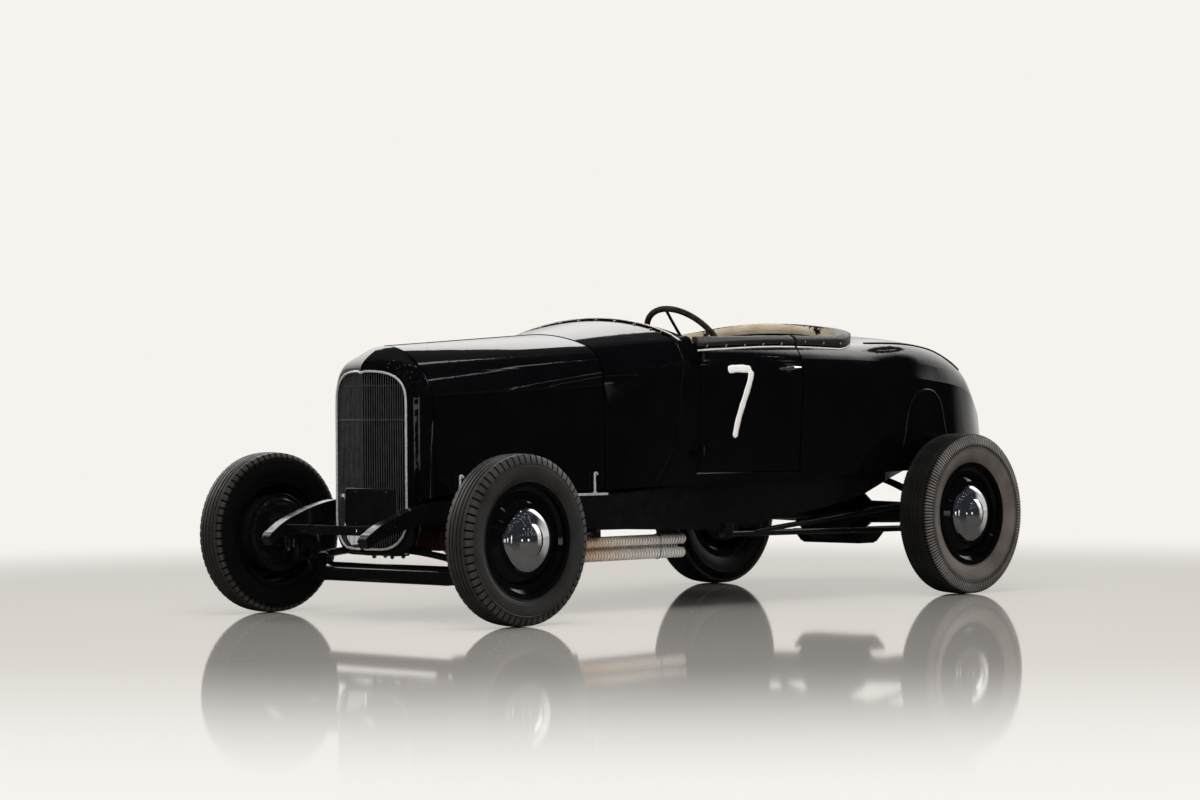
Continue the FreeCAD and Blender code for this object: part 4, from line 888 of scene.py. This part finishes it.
def stuffed(name, voxel, slim, body, seams=None, finer=True):
    """A swollen, sewn copy of a soft node. It starts slimmer and may swell back to its size."""
    bm = bmesh.new()
    bm.from_mesh(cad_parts[name].data)
    bmesh.ops.remove_doubles(bm, verts=bm.verts, dist=1e-5)
    outward(bm)
    bm.normal_update()
    shift = [(v, v.normal * v.calc_shell_factor()) for v in bm.verts]
    for v, away in shift:
        v.co -= away.normalized() * min(slim * away.length, slim * 1.8)
    holder = bpy.data.objects.new("holder", kept(bm))
    scene.collection.objects.link(holder)
    even = holder.modifiers.new("even", "REMESH")
    even.mode, even.voxel_size = "VOXEL", voxel
    seen = holder.evaluated_get(bpy.context.evaluated_depsgraph_get())
    still = bpy.data.meshes.new_from_object(seen)
    holder.modifiers.clear()
    holder.data = still
    swell = still.copy()
    cloth = holder.modifiers.new("cloth", "CLOTH")
    cloth.settings.quality, cloth.settings.mass = 4, 0.3
    cloth.settings.use_pressure, cloth.settings.uniform_pressure_force = True, 4.0
    cloth.settings.effector_weights.gravity = 0.0
    cloth.collision_settings.use_collision = False
    for k in range(1, 21):
        scene.frame_set(k)
    seen = holder.evaluated_get(bpy.context.evaluated_depsgraph_get())
    swell = bpy.data.meshes.new_from_object(seen)
    scene.frame_set(1)
    bpy.data.objects.remove(holder)
    for v, was in zip(swell.vertices, still.vertices):
        move = v.co - was.co
        if move.length > slim:
            v.co = was.co + move * (slim / move.length)
    bm = bmesh.new()
    bm.from_mesh(swell)
    if finer:
        bmesh.ops.subdivide_edges(bm, edges=bm.edges, cuts=1, use_grid_fill=True, smooth=0.4)
    bm.normal_update()
    if seams:
        for v, sink in [(v, seams(v.co, v.normal)) for v in bm.verts]:
            v.co -= v.normal * sink
    whole = piece("stuffed_" + name, kept(bm), body, black_hide, [name])
    return whole


def pleats(way):
    """Sewn channels 83 mm apart on the face that people lean or sit on."""
    def sink(co, normal):
        if normal.dot(Vector(way)) < 0.3:
            return 0.0
        wide = (co.x + 0.5) % PLEAT
        near = min(wide, PLEAT - wide)
        return 0.011 * math.exp(-(near / 0.009) ** 2)
    return sink


PLEAT = 0.0833
ROLL_HALF, ROLL_REAR, ROLL_TURN = 576, 2267, 230
turn_start = (ROLL_REAR - ROLL_TURN - MIDDLE) / 1000
stuffed("seat_cushion", 0.006, 0.010, "chassis", pleats((0, 0, 1)), finer=False)
stuffed("seat_back", 0.006, 0.010, "chassis", pleats((0, -0.8, 0.6)), finer=False)
for name, body in (("coaming_rear", "chassis"), ("coaming_door_left", "left_door"),
                   ("coaming_door_right", "right_door")):
    roll = stuffed(name, 0.004, 0.0022, body)
    roll.data.materials.append(cream_hide)
    for face in roll.data.polygons:
        out = Vector((face.center.x, max(face.center.y - turn_start, 0), 0))
        if name == "coaming_rear" and face.normal.dot(out.normalized()) < -0.45:
            face.material_index = 1


def rim_path(inset, first, last, step=24):
    """Points and outward directions round the left half of the rim, in from its outside."""
    rows, half, rear, turn = [], ROLL_HALF - inset, ROLL_REAR - inset, ROLL_TURN - inset
    station = first
    while station < min(last, rear - turn):
        rows.append(((half, station), (1, 0)))
        station += step
    if last <= rear - turn:
        rows.append(((half, last), (1, 0)))
        return rows
    for k in range(19):
        a = math.radians(5 * k)
        rows.append(((half - turn + turn * math.cos(a), rear - turn + turn * math.sin(a)),
            (math.cos(a), math.sin(a))))
    x = half - turn - step
    while x > 0:
        rows.append(((x, rear), (0, 1)))
        x -= step
    return rows + [((0, rear), (0, 1))]


# White welting closes the roll's lower edge; it breaks at the door gaps.
white_welt = finish("white_welt", "#cfcac0", "#e9e5dc", 0.04, (0.35, 0.5), 0.003, 0.0002)
DOWN = Vector((0, 0, -1))


def welted(skin, rows, s=1):
    """The welt's line just outside the rim, lying on the skin below."""
    line = []
    for (x, station), (ox, oy) in rows:
        met = skin.ray_cast(at(s * (x + 3 * ox), station + 3 * oy, 1300), DOWN)[0]
        line.append(at(s * (x + 2.2 * ox), station + 2.2 * oy, 1000 * met.z + 2.2))
    return line


for side, s in SIDES:
    line = welted(skin_of("door_" + side), rim_path(0, 1160, 1756), s)
    piece("welt_door_" + side, tube(line, 0.0038), side + "_door", white_welt)
    tacks = [(at(s * 576.4, station, line[0].z * 1000 + 17 + (station - 1160) * 0.032), (s, 0, 0),
        0.0055) for station in (1215, 1330, 1445, 1560, 1675)]
    fixed("roll_tacks_" + side, DOME, tacks, side + "_door", chrome)
rows = rim_path(0, 1776, ROLL_REAR)
line = welted(skin_of("body_tub"), rows)
tacks = [(p + Vector((-0.0016 * ox, -0.0016 * oy, 0.022)), (ox, oy, 0), 0.0055)
    for p, (place, (ox, oy)) in list(zip(line, rows))[2::5]]
line += [Vector((-p.x, p.y, p.z)) for p in reversed(line[:-1])]
tacks += [(Vector((-p.x, p.y, p.z)), (-d[0], d[1], 0), r) for p, d, r in tacks]
piece("welt_rear", tube(line, 0.0038), "chassis", white_welt)
fixed("roll_tacks_rear", DOME, tacks, "chassis", chrome)
skin, line = skin_of("cowl"), []
for x, station in ((0, 1133), (80, 1133), (150, 1132), (225, 1130), (300, 1128), (360, 1125),
        (420, 1120), (475, 1116), (522, 1111)):
    line.append(skin.ray_cast(at(x, station, 1400), DOWN)[0] + Vector((0, 0, 0.0014)))
line = [Vector((-p.x, p.y, p.z)) for p in reversed(line[1:])] + line
piece("cowl_welt", tube(line, 0.0030), "chassis", white_welt)
snaps = []
for x, station in ((51, 1118), (157, 1117), (272, 1114), (367, 1108)):
    for s in (1, -1):
        snaps.append((*skin.ray_cast(at(s * x, station, 1400), DOWN)[:2], 0.0065))
fixed("cowl_snaps", DOME, snaps, "chassis", chrome)

# Black hide lines the doors and cream hide the quarters, hung from under the roll.
def lining(name, rows, body, hide):
    """A hanging panel two millimetres thick, gathered slightly in upright folds."""
    bm = bmesh.new()
    cols = []
    for k, ((x, station), (ox, oy)) in enumerate(rows):
        fold = 1.2 * math.sin(k * 1.9) + 0.6 * math.sin(k * 0.7 + 1)
        cols.append([bm.verts.new(at(x - ox * (depth * fold + bow), station - oy * (depth * fold + bow),
            z)) for z, depth, bow in ((1064, 0, 0), (1046, 0.3, 2), (1000, 1, 4), (940, 1, 4),
            (880, 0.8, 3), (846, 0.4, 1))])
    webbed(bm, cols)
    outward(bm)
    bmesh.ops.solidify(bm, geom=bm.faces[:], thickness=0.002)
    outward(bm)
    piece(name, kept(bm), body, hide)


for side, s in SIDES:
    rows = [((s * x, y), (s * ox, oy)) for (x, y), (ox, oy) in rim_path(36, 1172, 1746, 12)]
    lining("door_lining_" + side, rows, side + "_door", black_hide)
rows = rim_path(36, 1786, ROLL_REAR, 12)
rows += [((-x, y), (-ox, oy)) for (x, y), (ox, oy) in reversed(rows[:-1])]
lining("quarter_lining", rows, "chassis", cream_hide)

# ---------------------------------------------------------------- steering wheel
# A steel rim whipped with tarred cord, three round spokes and a dished boss on the column.
tarred_cord = finish("tarred_cord", "#1b1714", "#3a322b", 0.012, (0.5, 0.75), 0.002, 0.0004,
    ends=(0.35, 0.65))
WHEEL_RADIUS, BAR = 0.185, 0.0100
rim_bar = turned([(BAR * c, WHEEL_RADIUS + BAR * h) for c, h in circle(10)], 90)
turn_of_cord = turned([(0.0021 * h, 0.0108 + 0.0021 * c) for c, h in circle(6)], 14)
turn_of_cord.transform(Matrix(((0, 0, 1, 0), (1, 0, 0, 0), (0, 1, 0, WHEEL_RADIUS), (0, 0, 0, 1))))
whipping = bpy.data.objects.new("whipping", turn_of_cord)
wrapped = grown(lug_ring, rim_bar, Lug=whipping, Count=288, Rubber=tarred_cord)
bpy.data.objects.remove(whipping)
boss = turned([(-0.020, 0), (-0.020, 0.030), (-0.014, 0.034), (0.012, 0.034), (0.018, 0.029),
    (0.018, 0.014), (0.024, 0.011), (0.024, 0)], 36, loop=False)
spokes = [tube([(x, r * c, r * h) for x, r in ((0, 0.020), (-0.004, 0.09), (0, 0.180))], 0.0062)
    for c, h in circle(3, math.pi / 2)]
RAKE = math.radians(40)
lean = Matrix(((0, -1, 0), (math.cos(RAKE), 0, -math.sin(RAKE)),
    (math.sin(RAKE), 0, math.cos(RAKE)))).to_4x4()
lean = moved(330, 1356, 1079) @ lean
metalwork = merged(boss, *spokes)
whole = merged(wrapped, metalwork)
whole.materials.clear()
whole.materials.append(tarred_cord)
whole.materials.append(chassis_enamel)
for face in whole.polygons[len(wrapped.polygons):]:
    face.material_index = 1
whole.transform(lean)
piece("corded_wheel", whole, "steering_wheel_body", None, ["steering_wheel"], crisp=40)

# ---------------------------------------------------------------- dash, floor and engine
# Five plain dials in bright bezels on the dash; painted boards underfoot; and on the maroon
# block, finned alloy heads with their nuts, an inlet ridge and two small carburettors.
dial_black = finish("dial_black", "#0c0c0c", "#131312", 0.02, (0.25, 0.4), 0.004, 0.00005)


def facing_seats(profile, loop, x, station, z):
    """A ring or a disc turned from (height, radius) points in millimetres, set on the dash."""
    mesh = turned(profile, 40, loop, unit=0.001)
    mesh.transform(moved(x, station, z) @ SWAP_X_Y)
    mesh.flip_normals()
    return mesh


SWAP_X_Y = Matrix(((0, 1, 0, 0), (1, 0, 0, 0), (0, 0, 1, 0), (0, 0, 0, 1)))
DASH = 1099
bezels, faces = [], []
for x, z, r in ((250, 1010, 42), (140, 1010, 42), (50, 1005, 27), (-30, 1005, 27), (-110, 1005, 27)):
    bezels.append(facing_seats([(0, r - 4), (3, r - 4.5), (6, r - 2), (4, r), (0, r + 1)], True, x,
        DASH, z))
    faces.append(facing_seats([(0, 0), (0, r - 4), (1.5, r - 4), (1.5, 0)], False, x, DASH + 0.2, z))
    ticks = []
    for k in range(11):
        lay = moved(x, DASH + 1.8, z) @ Matrix.Rotation(math.radians(24 * k - 120), 4, "Y")
        lay = lay @ Matrix.Translation((0, 0, (r - 9) / 1000)) @ Matrix.Rotation(-math.pi / 2, 4, "X")
        ticks.append(plate(oblong(0.0006, 0.003), 0.0006, lay))
    piece("dial_ticks_%d" % len(bezels), merged(*ticks), "chassis", signwriter_white)
piece("dial_bezels", merged(*bezels), "chassis", chrome, crisp=40)
piece("dial_faces", merged(*faces), "chassis", dial_black, crisp=40)

painted_boards = finish("painted_boards", "#15120f", "#261f18", 0.08, (0.5, 0.75), 0.01, 0.0006)
tree, shader, spot = opened(painted_boards)
joints = add(tree, "ShaderNodeTexBrick", {"Vector": spot, "Color1": colour("#ffffff"),
    "Color2": colour("#d8d8d8"), "Mortar": colour("#202020"), "Scale": 1.0, "Mortar Size": 0.004,
    "Brick Width": 0.14, "Row Height": 1.6})
tree.links.new(multiplied(tree, shader, joints.outputs["Color"]), shader.inputs["Base Color"])
paint(["floor"], painted_boards)

cast_alloy = finish("sand_cast_alloy", "#8f8d89", "#b2b0ab", 0.04, (0.35, 0.55), 0.004, 0.0004,
    Metallic=1.0)
cast, nuts = [], []
for s in (1, -1):
    lay = moved(s * 140, 415, 860)
    cast.append(plate(oblong(0.070, 0.27), 0.026, lay))
    for k in range(-3, 4):
        cast.append(plate(oblong(0.003, 0.25), 0.008, lay @ Matrix.Translation((k * 0.017, 0, 0.0255))))
    nuts += [(at(s * (140 + dx), 415 + dy, 886), (0, 0, 1), 0.0085) for dx in (-62, 62)
        for dy in range(-240, 241, 80)]
cast.append(plate(oblong(0.06, 0.2), 0.045, moved(0, 415, 860)))
for station in (320, 510):
    bowl = stood([(0, 0), (0.030, 0), (0.030, 0.008), (0.022, 0.010), (0.022, 0.040), (0.028, 0.044),
        (0.028, 0.052), (0.038, 0.054), (0.038, 0.078), (0.034, 0.084), (0, 0.084)], 32)
    bowl.data.transform(moved(0, station, 904))
    cast.append(bowl.data)
piece("engine_alloy", merged(*cast), "chassis", cast_alloy, crisp=35)
fixed("head_nuts", HEX, nuts, "chassis", plated_steel)

# ---------------------------------------------------------------- rear axle cover
# A folded sheet tray under the differential, in the same enamel as the axle that carries it.
bm = bmesh.new()
TRAY_X = 30
bmesh.ops.create_cube(bm, size=1.0)
for v in bm.verts:
    half_x, half_y, z = (170, 60, 206) if v.co.z < 0 else (218, 76, 268)
    v.co = at(TRAY_X + half_x * 2 * v.co.x, WHEELBASE + half_y * 2 * v.co.y, z)
bmesh.ops.bevel(bm, geom=bm.edges[:], offset=0.008, segments=3, affect="EDGES")
outward(bm)
piece("axle_tray", kept(bm), "chassis", chassis_enamel, crisp=35)
